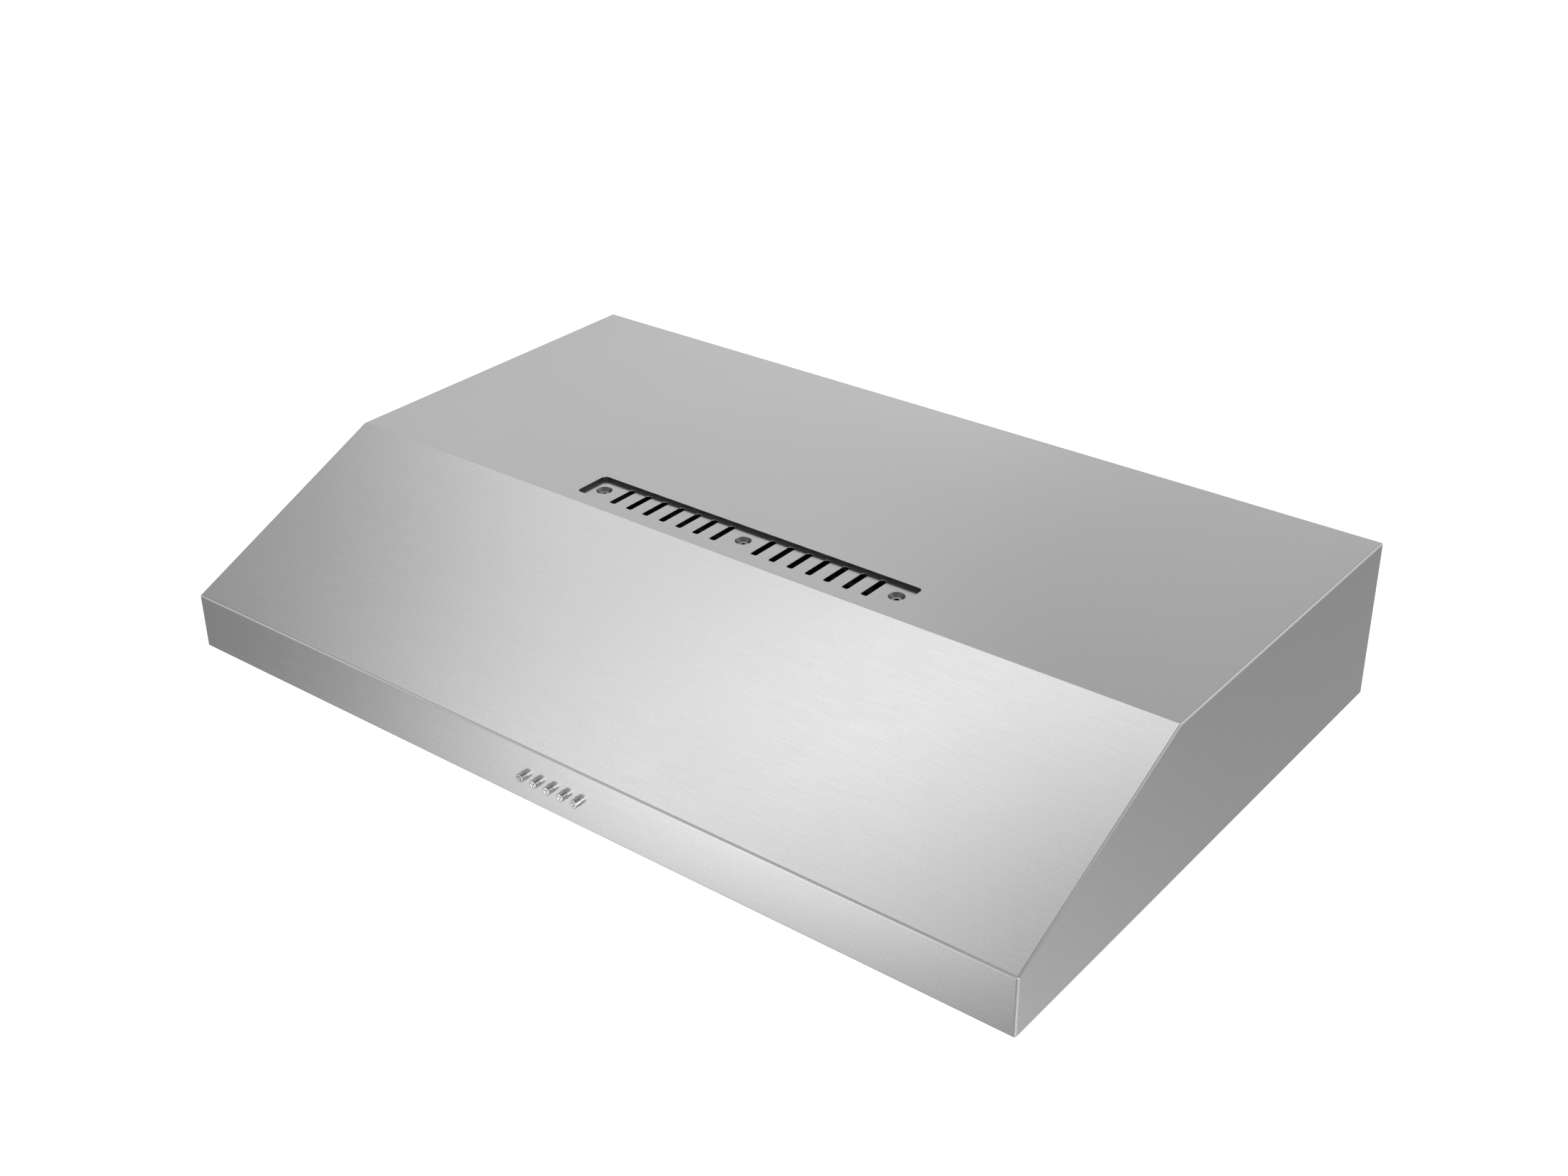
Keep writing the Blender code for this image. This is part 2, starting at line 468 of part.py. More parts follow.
def blower_wheel(name, s):
    """Squirrel-cage wheel: a back disc with its hub, a ring of blades and an end ring, on a grid of radius, angle and length."""
    radii = (4.3, 9.5, 35.5, WHEEL_R)
    along = [s * w for w in (WHEEL_IN, WHEEL_IN + 2, WHEEL_IN + 20, WHEEL_OUT - 3.5, WHEEL_OUT)]
    sectors = 2 * BLADES
    lean = (0.0, 0.0, 0.0, 0.10)  # the blades lean forward a little at the rim
    angle = lambda j, k: 2 * math.pi * (j // 2 + (0.36 if j % 2 else 0.0)) / BLADES + lean[k]

    def solid(i, k, j):
        if i == 0:
            return True
        if k == 0:
            return i == 1
        if k == 2:
            return i == 3 or j % 2 == 0
        return False

    bm = bmesh.new()
    grid = {}

    def vert(i, k, j):
        key = (i, k, j % sectors)
        if key not in grid:
            a = angle(key[2], k)
            grid[key] = bm.verts.new((along[i], AXIS_Y + radii[k] * math.cos(a), AXIS_Z + radii[k] * math.sin(a)))
        return grid[key]

    def full(i, k, j):
        return 0 <= i < 4 and 0 <= k < 3 and solid(i, k, j % sectors)

    for i in range(4):
        for k in range(3):
            for j in range(sectors):
                if not full(i, k, j):
                    continue
                for di, dk, dj, quad in (
                    (-1, 0, 0, ((i, k, j), (i, k + 1, j), (i, k + 1, j + 1), (i, k, j + 1))),
                    (1, 0, 0, ((i + 1, k, j), (i + 1, k, j + 1), (i + 1, k + 1, j + 1), (i + 1, k + 1, j))),
                    (0, -1, 0, ((i, k, j), (i, k, j + 1), (i + 1, k, j + 1), (i + 1, k, j))),
                    (0, 1, 0, ((i, k + 1, j), (i + 1, k + 1, j), (i + 1, k + 1, j + 1), (i, k + 1, j + 1))),
                    (0, 0, -1, ((i, k, j), (i + 1, k, j), (i + 1, k + 1, j), (i, k + 1, j))),
                    (0, 0, 1, ((i, k, j + 1), (i, k + 1, j + 1), (i + 1, k + 1, j + 1), (i + 1, k, j + 1))),
                ):
                    if not full(i + di, k + dk, j + dj):
                        bm.faces.new([vert(*q) for q in quad])
    wheel = to_object(name, bm, "grey")
    origin_at(wheel, 0, AXIS_Y, AXIS_Z)


blower_wheel("left_blower_wheel", -1)
blower_wheel("right_blower_wheel", 1)

# ---- electrics: capacitor, terminal box, cable gland and the leads inside ----
turned("run_capacitor", [(0, 62), (15.5, 62), (16.5, 63), (16.5, 121), (15.5, 122), (0, 122)], "X", (70.0, -SHEET - GAP - 16.5), 24, "white")

TB = (-345.0, 96.0, -50.0, -262.0, 146.0, -2.4)
tbox = box("terminal_box", *TB, "zinc")
cut(tbox, box("terminal_space", TB[0] + 1, TB[1] + 1, TB[2] - 5, TB[3] - 1, TB[4] - 1, TB[5] - 1))
cut(tbox, prism("terminal_gland_hole", circle(GLAND_X, GLAND_Z, 10.4, 24), "Y", TB[4] - 4, TB[4] + 4))
cut(tbox, prisms("terminal_lead_holes", [(circle(115.0, z, 5.0, 16), "X", TB[3] - 4, TB[3] + 4) for z in (-38.0, -20.0)]))
lid = box("terminal_box_cover", TB[0] - 0.0, TB[1] - 0.0, TB[2] - 1.5, TB[3], TB[4], TB[2] - 0.3, "zinc")
turned("cable_gland", [(6.0, 134.0), (10.0, 134.0), (10.0, 149.2), (13.0, 149.2), (13.0, REAR - SHEET - GAP), (10.0, REAR - SHEET - GAP), (10.0, REAR - 0.3), (6.0, REAR - 0.3)],
       "Y", (GLAND_X, GLAND_Z), 20, "black", closed=True)
turned("gland_locknut", [(10.3, 139.5), (13.5, 139.5), (13.5, 144.5), (10.3, 144.5)], "Y", (GLAND_X, GLAND_Z), 20, "black", closed=True)


def lead(name, points, r=2.2):
    """A lead that runs through the given points on a smooth curve, held by the parts along it."""
    path = [Vector(p) for p in points]
    ends = [path[0] * 2 - path[1]] + path + [path[-1] * 2 - path[-2]]
    smooth = []
    for i in range(1, len(ends) - 2):
        p0, p1, p2, p3 = ends[i - 1:i + 3]
        steps = max(3, int((p2 - p1).length / 16))
        for k in range(steps):
            t = k / steps
            smooth.append(0.5 * ((2 * p1) + (p2 - p0) * t + (2 * p0 - 5 * p1 + 4 * p2 - p3) * t * t + (3 * p1 - p0 - 3 * p2 + p3) * t ** 3))
    smooth.append(path[-1])
    curve = bpy.data.curves.new(name, "CURVE")
    curve.dimensions = "3D"
    spline = curve.splines.new("POLY")
    spline.points.add(len(smooth) - 1)
    for point, p in zip(spline.points, smooth):
        point.co = (*(p * MM), 1.0)
    curve.bevel_depth = r * MM
    curve.bevel_resolution = 1
    curve.use_fill_caps = True
    obj = bpy.data.objects.new(name, curve)
    bpy.context.scene.collection.objects.link(obj)
    finish(obj, "black")
    return obj


lead("motor_lead", [(-270, 115, -38), (-250, 115, -38), (-232, 108, -38), (-190, 60, -30), (-160, 24, -20), (-100, 22, -14), (-30, 18, -14), (-8, 14, -24), (-4, 6, -36), (0, 1.5, -44)])
lead("switch_lead", [(-270, 115, -20), (-250, 115, -20), (-205, 96, -14), (-170, 0, -9), (-165, -100, -14), (-150, -150, -20), (-110, -200, -60), (-60, -262, -88), (-24, -285, -92.4), (-12, -303, -91.2)])
lead("left_lamp_lead", [(68.5, -281, -112), (20, -283, -112), (-60, -270, -118), (-160, -245, -112), (-240, -238, -101), (-268, -235, -99), (-270, -235, -108.0)])
lead("right_lamp_lead", [(141.5, -281, -112), (160, -279, -110), (215, -250, -106), (246, -238, -101), (268, -235, -99), (270, -235, -108.0)])
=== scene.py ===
import math
import random

import bmesh
import bpy
import numpy as np
from mathutils import Matrix, Vector
from mathutils.geometry import tessellate_polygon


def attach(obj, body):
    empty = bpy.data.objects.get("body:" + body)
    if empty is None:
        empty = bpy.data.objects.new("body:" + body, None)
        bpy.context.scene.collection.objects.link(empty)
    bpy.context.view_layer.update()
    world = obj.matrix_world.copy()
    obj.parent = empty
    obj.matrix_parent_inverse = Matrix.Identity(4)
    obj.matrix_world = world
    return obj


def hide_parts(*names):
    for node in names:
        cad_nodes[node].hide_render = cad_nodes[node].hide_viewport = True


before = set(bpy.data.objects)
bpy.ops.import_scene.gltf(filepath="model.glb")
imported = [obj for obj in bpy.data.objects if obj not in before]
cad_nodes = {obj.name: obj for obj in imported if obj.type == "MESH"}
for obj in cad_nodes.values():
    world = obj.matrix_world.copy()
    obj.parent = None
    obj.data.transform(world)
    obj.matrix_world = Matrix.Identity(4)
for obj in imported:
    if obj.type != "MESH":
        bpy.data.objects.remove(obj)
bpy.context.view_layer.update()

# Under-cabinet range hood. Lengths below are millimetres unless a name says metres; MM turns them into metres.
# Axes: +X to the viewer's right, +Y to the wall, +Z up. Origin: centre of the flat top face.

MM = 0.001
random.seed(11)

WIDTH, TOP_DEPTH, DEPTH, HEIGHT = 759.0, 305.0, 488.0, 128.0
BAND_TOP, SHEET, GAP, BEND = -82.5, 0.9, 0.3, 2.2
HALF, REAR, KNEE = WIDTH / 2, TOP_DEPTH / 2, -TOP_DEPTH / 2
FRONT = REAR - DEPTH
RECESS_HALF, RECESS_BACK, RECESS_FRONT, RECESS_DEEP, RECESS_R = 151.5, -106.4, -138.9, 3.3, 4.3
SLOT_W, SLOT_BACK, SLOT_FRONT = 5.5, -108.0, -134.6
SLOT_X = [side * (19.7 + 16.6 * k) for side in (-1, 1) for k in range(7)]
DIMPLES = [(x, -121.2) for x in (-139.0, 0.0, 139.0)]
BUTTON_X = [12.85 * (n - 2) for n in range(5)]
BUTTON_Z, BUTTON_R, BUTTON_OUT = -107.0, 3.25, 5.2
LIP_Z, PAN_Z = -126.3, -125.1
FILTER_IN, FILTER_OUT, FILTER_FRONT, FILTER_REAR = 12.0, 344.0, -145.0, 108.0
FILTER_LOW, FILTER_T = -124.6, 8.0
LAMP_X, LAMP_Y = 270.0, -235.0
AXIS_Y, AXIS_Z = -40.0, -62.0
DUCT_W, DUCT_H, DUCT_Z = 254.0, 83.0, -62.0
PAN_SCREWS = [(-300, FRONT + 8.5), (0, FRONT + 8.5), (300, FRONT + 8.5), (-300, REAR - 8.0), (0, REAR - 8.0), (300, REAR - 8.0)]
DUCT_SCREWS = [(sx * (DUCT_W / 2 + 9), DUCT_Z + sz * (DUCT_H / 2 - 8)) for sx in (-1, 1) for sz in (-1, 1)]


# =====================================================================================
# materials
# =====================================================================================
class Look:
    """A material's node tree, with short calls for the nodes that the finishes below use."""

    def __init__(self, name, colour, rough, metal):
        self.mat = bpy.data.materials.new(name)
        self.mat.use_nodes = True
        self.tree = self.mat.node_tree
        self.shader = self.tree.nodes["Principled BSDF"]
        self.shader.inputs["Base Color"].default_value = (*colour, 1)
        self.shader.inputs["Roughness"].default_value = rough
        self.shader.inputs["Metallic"].default_value = metal
        self.mat.diffuse_color = (*colour, 1)
        self.coords = self.tree.nodes.new("ShaderNodeTexCoord").outputs["Object"]

    def node(self, kind, **settings):
        node = self.tree.nodes.new(kind)
        for key, value in settings.items():
            setattr(node, key, value)
        return node

    def put(self, value, socket):
        if isinstance(value, (int, float)):
            socket.default_value = value
        elif isinstance(value, tuple):
            socket.default_value = value
        else:
            self.tree.links.new(value, socket)

    def math(self, op, a, b=0.0, c=0.0, clamp=False):
        node = self.node("ShaderNodeMath", operation=op, use_clamp=clamp)
        for value, socket in zip((a, b, c), node.inputs):
            self.put(value, socket)
        return node.outputs[0]

    def stretch(self, scale, turn=(0, 0, 0)):
        node = self.node("ShaderNodeMapping")
        self.tree.links.new(self.coords, node.inputs["Vector"])
        node.inputs["Scale"].default_value = scale
        node.inputs["Rotation"].default_value = turn
        return node.outputs[0]

    def noise(self, vector, scale=1.0, detail=3.0, rough=0.55, distort=0.0):
        node = self.node("ShaderNodeTexNoise")
        self.tree.links.new(vector, node.inputs["Vector"])
        for key, value in (("Scale", scale), ("Detail", detail), ("Roughness", rough), ("Distortion", distort)):
            node.inputs[key].default_value = value
        return node.outputs["Fac"]

    def cells(self, vector, scale, output="Color", feature="F1"):
        node = self.node("ShaderNodeTexVoronoi", feature=feature)
        self.tree.links.new(vector, node.inputs["Vector"])
        node.inputs["Scale"].default_value = scale
        return node.outputs[output]

    def span(self, value, lo, hi, to_lo=0.0, to_hi=1.0):
        node = self.node("ShaderNodeMapRange")
        for item, key in ((value, 0), (lo, 1), (hi, 2), (to_lo, 3), (to_hi, 4)):
            self.put(item, node.inputs[key])
        return node.outputs[0]

    def blend(self, factor, a, b, kind="MIX"):
        node = self.node("ShaderNodeMix", data_type="RGBA", blend_type=kind)
        for value, socket in zip((factor, a, b), (node.inputs[0], node.inputs[6], node.inputs[7])):
            if isinstance(value, tuple) and len(value) == 3:
                value = (*value, 1.0)
            self.put(value, socket)
        return node.outputs[2]

    def edges(self):
        node = self.node("ShaderNodeAttribute", attribute_name="edge", attribute_type="GEOMETRY")
        return node.outputs["Fac"]

    def bump(self, height, strength, distance_mm):
        node = self.node("ShaderNodeBump")
        node.inputs["Strength"].default_value = strength
        node.inputs["Distance"].default_value = distance_mm * MM
        self.tree.links.new(height, node.inputs["Height"])
        if self.shader.inputs["Normal"].links:
            self.tree.links.new(self.shader.inputs["Normal"].links[0].from_socket, node.inputs["Normal"])
        self.tree.links.new(node.outputs[0], self.shader.inputs["Normal"])

    def colour(self, value):
        self.put(value, self.shader.inputs["Base Color"])

    def rough(self, value):
        self.put(value, self.shader.inputs["Roughness"])


def brushed_steel(name, along, tone=0.635, rough=0.205, grain_depth=1.0):
    """Stainless sheet with a fine satin grain along one axis, faint tone drift, handling haze and brighter worn folds."""
    look = Look(name, (tone, tone, tone), rough, 1.0)
    scale = {"X": (38, 2600, 2600), "Y": (2600, 38, 2600)}[along]
    grain = look.noise(look.stretch(scale), 1.0, 4.0, 0.62)
    fleck = look.noise(look.coords, 1450.0, 2.0, 0.6)
    long_streak = look.noise(look.stretch({"X": (5, 420, 420), "Y": (420, 5, 420)}[along]), 1.0, 2.0, 0.5)
    drift = look.noise(look.coords, 5.5, 2.0, 0.5)
    haze = look.span(look.noise(look.coords, 13.0, 4.0, 0.6, 0.6), 0.50, 0.74)
    worn = look.edges()
    value = look.math("ADD", look.span(grain, 0.25, 0.75, -0.010, 0.010), look.span(drift, 0.3, 0.7, -0.005, 0.005))
    value = look.math("ADD", value, look.span(long_streak, 0.3, 0.7, -0.004, 0.004))
    value = look.math("ADD", value, look.span(fleck, 0.25, 0.75, -0.042, 0.042))
    value = look.math("MULTIPLY_ADD", worn, 0.05, value)
    tint = look.node("ShaderNodeCombineColor")
    for socket, offset in zip(tint.inputs, (0.0, -0.001, -0.003)):
        look.put(look.math("ADD", value, tone + offset), socket)
    look.colour(tint.outputs[0])
    r = look.math("ADD", look.span(grain, 0.2, 0.8, rough - 0.035, rough + 0.045), look.math("MULTIPLY", haze, 0.008))
    r = look.math("MULTIPLY_ADD", worn, -0.03, r)
    look.rough(r)
    look.bump(look.math("ADD", look.math("MULTIPLY", grain, 0.35), look.math("MULTIPLY", fleck, 0.6)), 0.5, 0.0016 * grain_depth)
    return look.mat


def galvanised(name, tone=0.56, rough=0.42):
    """Zinc-coated sheet: flat crystals of slightly different tone, dull patches, brighter edges."""
    look = Look(name, (tone, tone, tone), rough, 1.0)
    warped = look.node("ShaderNodeVectorMath", operation="MULTIPLY_ADD")
    noise = look.node("ShaderNodeTexNoise")
    look.tree.links.new(look.coords, noise.inputs["Vector"])
    noise.inputs["Scale"].default_value = 190.0
    look.tree.links.new(noise.outputs["Color"], warped.inputs[0])
    warped.inputs[1].default_value = (0.006, 0.006, 0.006)
    look.tree.links.new(look.coords, warped.inputs[2])
    crystal = look.node("ShaderNodeSeparateColor")
    look.tree.links.new(look.cells(warped.outputs[0], 230.0), crystal.inputs[0])
    feather = look.noise(look.stretch((900, 240, 900), (0.3, 0.5, 0.9)), 1.0, 3.0)
    dull = look.span(look.noise(look.coords, 9.0, 4.0, 0.6, 0.5), 0.45, 0.75)
    worn = look.edges()
    value = look.math("ADD", look.span(crystal.outputs[0], 0.0, 1.0, tone - 0.045, tone + 0.040), look.span(feather, 0.3, 0.7, -0.025, 0.025))
    value = look.math("MULTIPLY_ADD", dull, -0.06, value)
    value = look.math("MULTIPLY_ADD", worn, 0.10, value)
    tint = look.node("ShaderNodeCombineColor")
    for socket, gain in zip(tint.inputs, (0.985, 1.0, 1.018)):
        look.put(look.math("MULTIPLY", value, gain), socket)
    look.colour(tint.outputs[0])
    r = look.math("ADD", look.span(crystal.outputs[1], 0.0, 1.0, rough - 0.06, rough + 0.06), look.math("MULTIPLY", dull, 0.12))
    look.rough(look.math("MULTIPLY_ADD", worn, -0.08, r))
    look.bump(look.math("ADD", look.math("MULTIPLY", crystal.outputs[2], 0.6), feather), 0.22, 0.04)
    return look.mat


def drawn_aluminium(name, tone=0.70, rough=0.34, along="X"):
    """Mill aluminium with fine drawing lines, a faint bloom and small bright rub marks."""
    look = Look(name, (tone, tone, tone), rough, 1.0)
    scale = {"X": (30, 1900, 1900), "Y": (1900, 30, 1900), "Z": (1900, 1900, 30)}[along]
    lines = look.noise(look.stretch(scale), 1.0, 3.0, 0.6)
    bloom = look.span(look.noise(look.coords, 22.0, 5.0, 0.62, 0.4), 0.42, 0.72)
    pits = look.span(look.noise(look.coords, 1800.0, 2.0, 0.6), 0.62, 0.75)
    worn = look.edges()
    value = look.math("ADD", look.span(lines, 0.25, 0.75, tone - 0.035, tone + 0.035), look.math("MULTIPLY", bloom, -0.075))
    value = look.math("MULTIPLY_ADD", pits, -0.07, value)
    value = look.math("MULTIPLY_ADD", worn, 0.07, value)
    tint = look.node("ShaderNodeCombineColor")
    for socket, gain in zip(tint.inputs, (0.992, 1.0, 1.010)):
        look.put(look.math("MULTIPLY", value, gain), socket)
    look.colour(tint.outputs[0])
    r = look.math("ADD", look.span(lines, 0.2, 0.8, rough - 0.05, rough + 0.06), look.math("MULTIPLY", bloom, 0.13))
    look.rough(look.math("MULTIPLY_ADD", worn, -0.09, r))
    look.bump(look.math("SUBTRACT", lines, look.math("MULTIPLY", pits, 0.7)), 0.16, 0.03)
    return look.mat


def polished(name, tone=0.80, rough=0.075):
    """Bright plating with hairline scratches and a breath of haze."""
    look = Look(name, (tone, tone, tone), rough, 1.0)
    hair = look.noise(look.stretch((700, 9000, 9000), (0.2, 0.4, 0.7)), 1.0, 2.0, 0.6)
    haze = look.span(look.noise(look.coords, 260.0, 4.0, 0.6, 0.5), 0.42, 0.74)
    worn = look.edges()
    value = look.math("ADD", look.span(hair, 0.3, 0.7, tone - 0.012, tone + 0.012), look.math("MULTIPLY", haze, -0.030))
    tint = look.node("ShaderNodeCombineColor")
    for socket, gain in zip(tint.inputs, (0.995, 1.0, 1.006)):
        look.put(look.math("MULTIPLY", look.math("MULTIPLY_ADD", worn, 0.05, value), gain), socket)
    look.colour(tint.outputs[0])
    look.rough(look.math("ADD", look.math("MULTIPLY", haze, 0.06), look.span(hair, 0.3, 0.7, rough - 0.02, rough + 0.03)))
    look.bump(hair, 0.05, 0.01)
    return look.mat


def moulded(name, colour, rough=0.5, texture=900.0, depth=0.05):
    """Injection-moulded plastic: spark-eroded skin, faint flow marks, slightly shinier rubbed edges."""
    look = Look(name, colour, rough, 0.0)
    skin = look.noise(look.coords, texture, 3.0, 0.6)
    flow = look.noise(look.stretch((22, 9, 30), (0.2, 0.1, 0.6)), 1.0, 3.0, 0.55, 0.8)
    dust = look.span(look.noise(look.coords, 70.0, 5.0, 0.65), 0.52, 0.78)
    worn = look.edges()
    light = tuple(min(1.0, c * 1.16 + 0.012) for c in colour)
    dark = tuple(c * 0.86 for c in colour)
    pale = tuple(min(1.0, c * 1.3 + 0.03) for c in colour)
    base = look.blend(look.span(flow, 0.3, 0.7), dark, light)
    base = look.blend(look.math("MULTIPLY", dust, 0.22), base, pale)
    look.colour(look.blend(look.math("MULTIPLY", worn, 0.5), base, pale))
    r = look.math("ADD", look.span(skin, 0.25, 0.75, rough - 0.07, rough + 0.07), look.math("MULTIPLY", dust, 0.10))
    look.rough(look.math("MULTIPLY_ADD", worn, -0.12, r))
    look.bump(skin, 0.35, depth)
    return look.mat


def carbon(name):
    """Granular activated charcoal behind a fleece: dark grains with a few lighter facets and fibres."""
    look = Look(name, (0.022, 0.022, 0.024), 0.88, 0.0)
    grain = look.cells(look.coords, 620.0, "Distance")
    facet = look.node("ShaderNodeSeparateColor")
    look.tree.links.new(look.cells(look.coords, 620.0), facet.inputs[0])
    fibre = look.noise(look.stretch((3200, 260, 260), (0.4, 0.9, 0.3)), 1.0, 2.0, 0.6)
    base = look.blend(look.span(facet.outputs[0], 0.55, 1.0), (0.016, 0.016, 0.018), (0.070, 0.071, 0.075))
    look.colour(look.blend(look.span(fibre, 0.60, 0.72), base, (0.14, 0.14, 0.145)))
    look.rough(look.span(facet.outputs[1], 0.0, 1.0, 0.60, 0.95))
    look.bump(look.math("ADD", look.span(grain, 0.0, 0.6, 1.0, 0.0), look.math("MULTIPLY", fibre, 0.5)), 0.8, 0.5)
    return look.mat


def frosted(name):
    """Frosted lamp cover: milky plastic, rings of a fine prism pattern round each lamp axis, a little dust."""
    look = Look(name, (0.86, 0.86, 0.83), 0.32, 0.0)
    split = look.node("ShaderNodeSeparateXYZ")
    look.tree.links.new(look.coords, split.inputs[0])
    u = look.math("SUBTRACT", look.math("ABSOLUTE", split.outputs[0]), LAMP_X * MM)
    v = look.math("SUBTRACT", split.outputs[1], LAMP_Y * MM)
    radius = look.math("SQRT", look.math("ADD", look.math("MULTIPLY", u, u), look.math("MULTIPLY", v, v)))
    rings = look.math("SINE", look.math("MULTIPLY", radius, 2 * math.pi / 0.0016))
    milk = look.noise(look.coords, 160.0, 4.0, 0.6)
    dust = look.span(look.noise(look.coords, 900.0, 3.0, 0.6), 0.62, 0.78)
    glow = look.span(radius, 0.0, 0.028, 0.0, 1.0)
    base = look.blend(glow, (0.90, 0.90, 0.86), (0.74, 0.75, 0.74))
    base = look.blend(look.span(milk, 0.3, 0.7, 0.0, 0.25), base, (0.66, 0.67, 0.66))
    look.colour(look.blend(look.math("MULTIPLY", dust, 0.35), base, (0.52, 0.52, 0.50)))
    look.rough(look.math("ADD", look.span(milk, 0.3, 0.7, 0.24, 0.36), look.math("MULTIPLY", dust, 0.25)))
    look.bump(rings, 0.35, 0.10)
    look.bump(milk, 0.10, 0.05)
    return look.mat


def board(name):
    """White solder resist with a faint weave from the laminate and warm flux stains."""
    look = Look(name, (0.80, 0.80, 0.77), 0.42, 0.0)
    weave = look.math("MULTIPLY", look.math("SINE", look.math("MULTIPLY", look.split(0), 5200.0)), look.math("SINE", look.math("MULTIPLY", look.split(1), 5200.0)))
    stain = look.span(look.noise(look.coords, 110.0, 4.0, 0.6), 0.55, 0.80)
    look.colour(look.blend(look.math("MULTIPLY", stain, 0.5), look.blend(look.span(weave, -1, 1), (0.77, 0.77, 0.74), (0.83, 0.83, 0.80)), (0.62, 0.57, 0.44)))
    look.rough(look.span(weave, -1, 1, 0.36, 0.48))
    look.bump(weave, 0.2, 0.02)
    return look.mat


def split(self, axis):
    if not hasattr(self, "_split"):
        self._split = self.node("ShaderNodeSeparateXYZ")
        self.tree.links.new(self.coords, self._split.inputs[0])
    return self._split.outputs[axis]


Look.split = split


def laminated(name):
    """Motor body: painted end bells and, in the middle, a stack of thin steel laminations."""
    look = Look(name, (0.45, 0.45, 0.46), 0.45, 1.0)
    x = look.split(0)
    stack = look.math("SINE", look.math("MULTIPLY", x, 2 * math.pi / 0.0010))
    inside = look.math("LESS_THAN", look.math("ABSOLUTE", x), 0.0162)
    speck = look.noise(look.coords, 800.0, 3.0, 0.6)
    rust = look.span(look.noise(look.coords, 60.0, 5.0, 0.65), 0.58, 0.78)
    bell = look.blend(look.span(speck, 0.3, 0.7), (0.52, 0.53, 0.54), (0.62, 0.63, 0.64))
    core = look.blend(look.span(stack, -1, 1), (0.20, 0.20, 0.21), (0.42, 0.42, 0.43))
    core = look.blend(look.math("MULTIPLY", rust, 0.4), core, (0.22, 0.15, 0.11))
    look.colour(look.blend(inside, bell, core))
    look.rough(look.span(speck, 0.25, 0.75, 0.34, 0.52))
    look.bump(look.math("MULTIPLY", stack, inside), 0.5, 0.15)
    look.bump(speck, 0.12, 0.03)
    return look.mat


def engraved(name):
    """Dark enamel laid in the engraved button signs."""
    look = Look(name, (0.05, 0.05, 0.055), 0.38, 0.0)
    speck = look.noise(look.coords, 2400.0, 3.0, 0.6)
    look.colour(look.blend(look.span(speck, 0.3, 0.7), (0.038, 0.038, 0.042), (0.075, 0.075, 0.08)))
    look.rough(look.span(speck, 0.3, 0.7, 0.30, 0.48))
    look.bump(speck, 0.2, 0.01)
    return look.mat


STEEL_X = brushed_steel("steel_brushed_x", "X")
STEEL_Y = brushed_steel("steel_brushed_y", "Y")
# Painted shade: the recess walls use the satin steel darkened to near-black, standing in for the shade inside the
# recess.
STEEL_WALL_PAINTED_SHADE = brushed_steel("steel_recess_wall_painted_shade", "X", 0.070, 0.52, 2.0)
# Painted shade: the dimple cones use the satin steel darkened, standing in for the shade inside the dimples.
STEEL_CONE_PAINTED_SHADE = brushed_steel("steel_dimple_cone_painted_shade", "X", 0.20, 0.36, 1.5)
# Painted shade: the button flanks are a darker copy of the bright plating, standing in for the dark reflection along
# their sides.
BUTTON_FLANK_PAINTED_SHADE = polished("button_flank_painted_shade", 0.33, 0.15)
ZINC = galvanised("zinc_spangle")
ZINC_BRIGHT = galvanised("zinc_bright", 0.64, 0.30)
ALU_X = drawn_aluminium("aluminium_drawn_x", along="X")
ALU_Y = drawn_aluminium("aluminium_drawn_y", along="Y")
MESH_ALU = drawn_aluminium("mesh_aluminium", 0.66, 0.36, "X")
CHROME = polished("chrome_bright")
SHAFT = polished("ground_shaft", 0.62, 0.20)
SPRING = polished("spring_wire", 0.50, 0.26)
BLACK = moulded("black_moulded", (0.030, 0.030, 0.032), 0.46)
CABLE = moulded("cable_sheath", (0.040, 0.040, 0.043), 0.42, 500.0, 0.10)
GREY = moulded("grey_moulded", (0.27, 0.28, 0.29), 0.5)
WHITE = moulded("white_moulded", (0.76, 0.76, 0.73), 0.42)
CHARCOAL = carbon("charcoal_grains")
LENS = frosted("lens_frosted")
BOARD = board("led_board_resist")
MOTOR = laminated("motor_paint_and_laminations")
INK = engraved("button_enamel")
# Painted shade: a near-black lining for the inside of the discharge plenum, standing in for the shade inside it seen
# through the outlet slots.
PLENUM_PAINTED_SHADE = moulded("plenum_lining_painted_shade", (0.012, 0.012, 0.013), 0.85, 1500.0, 0.10)


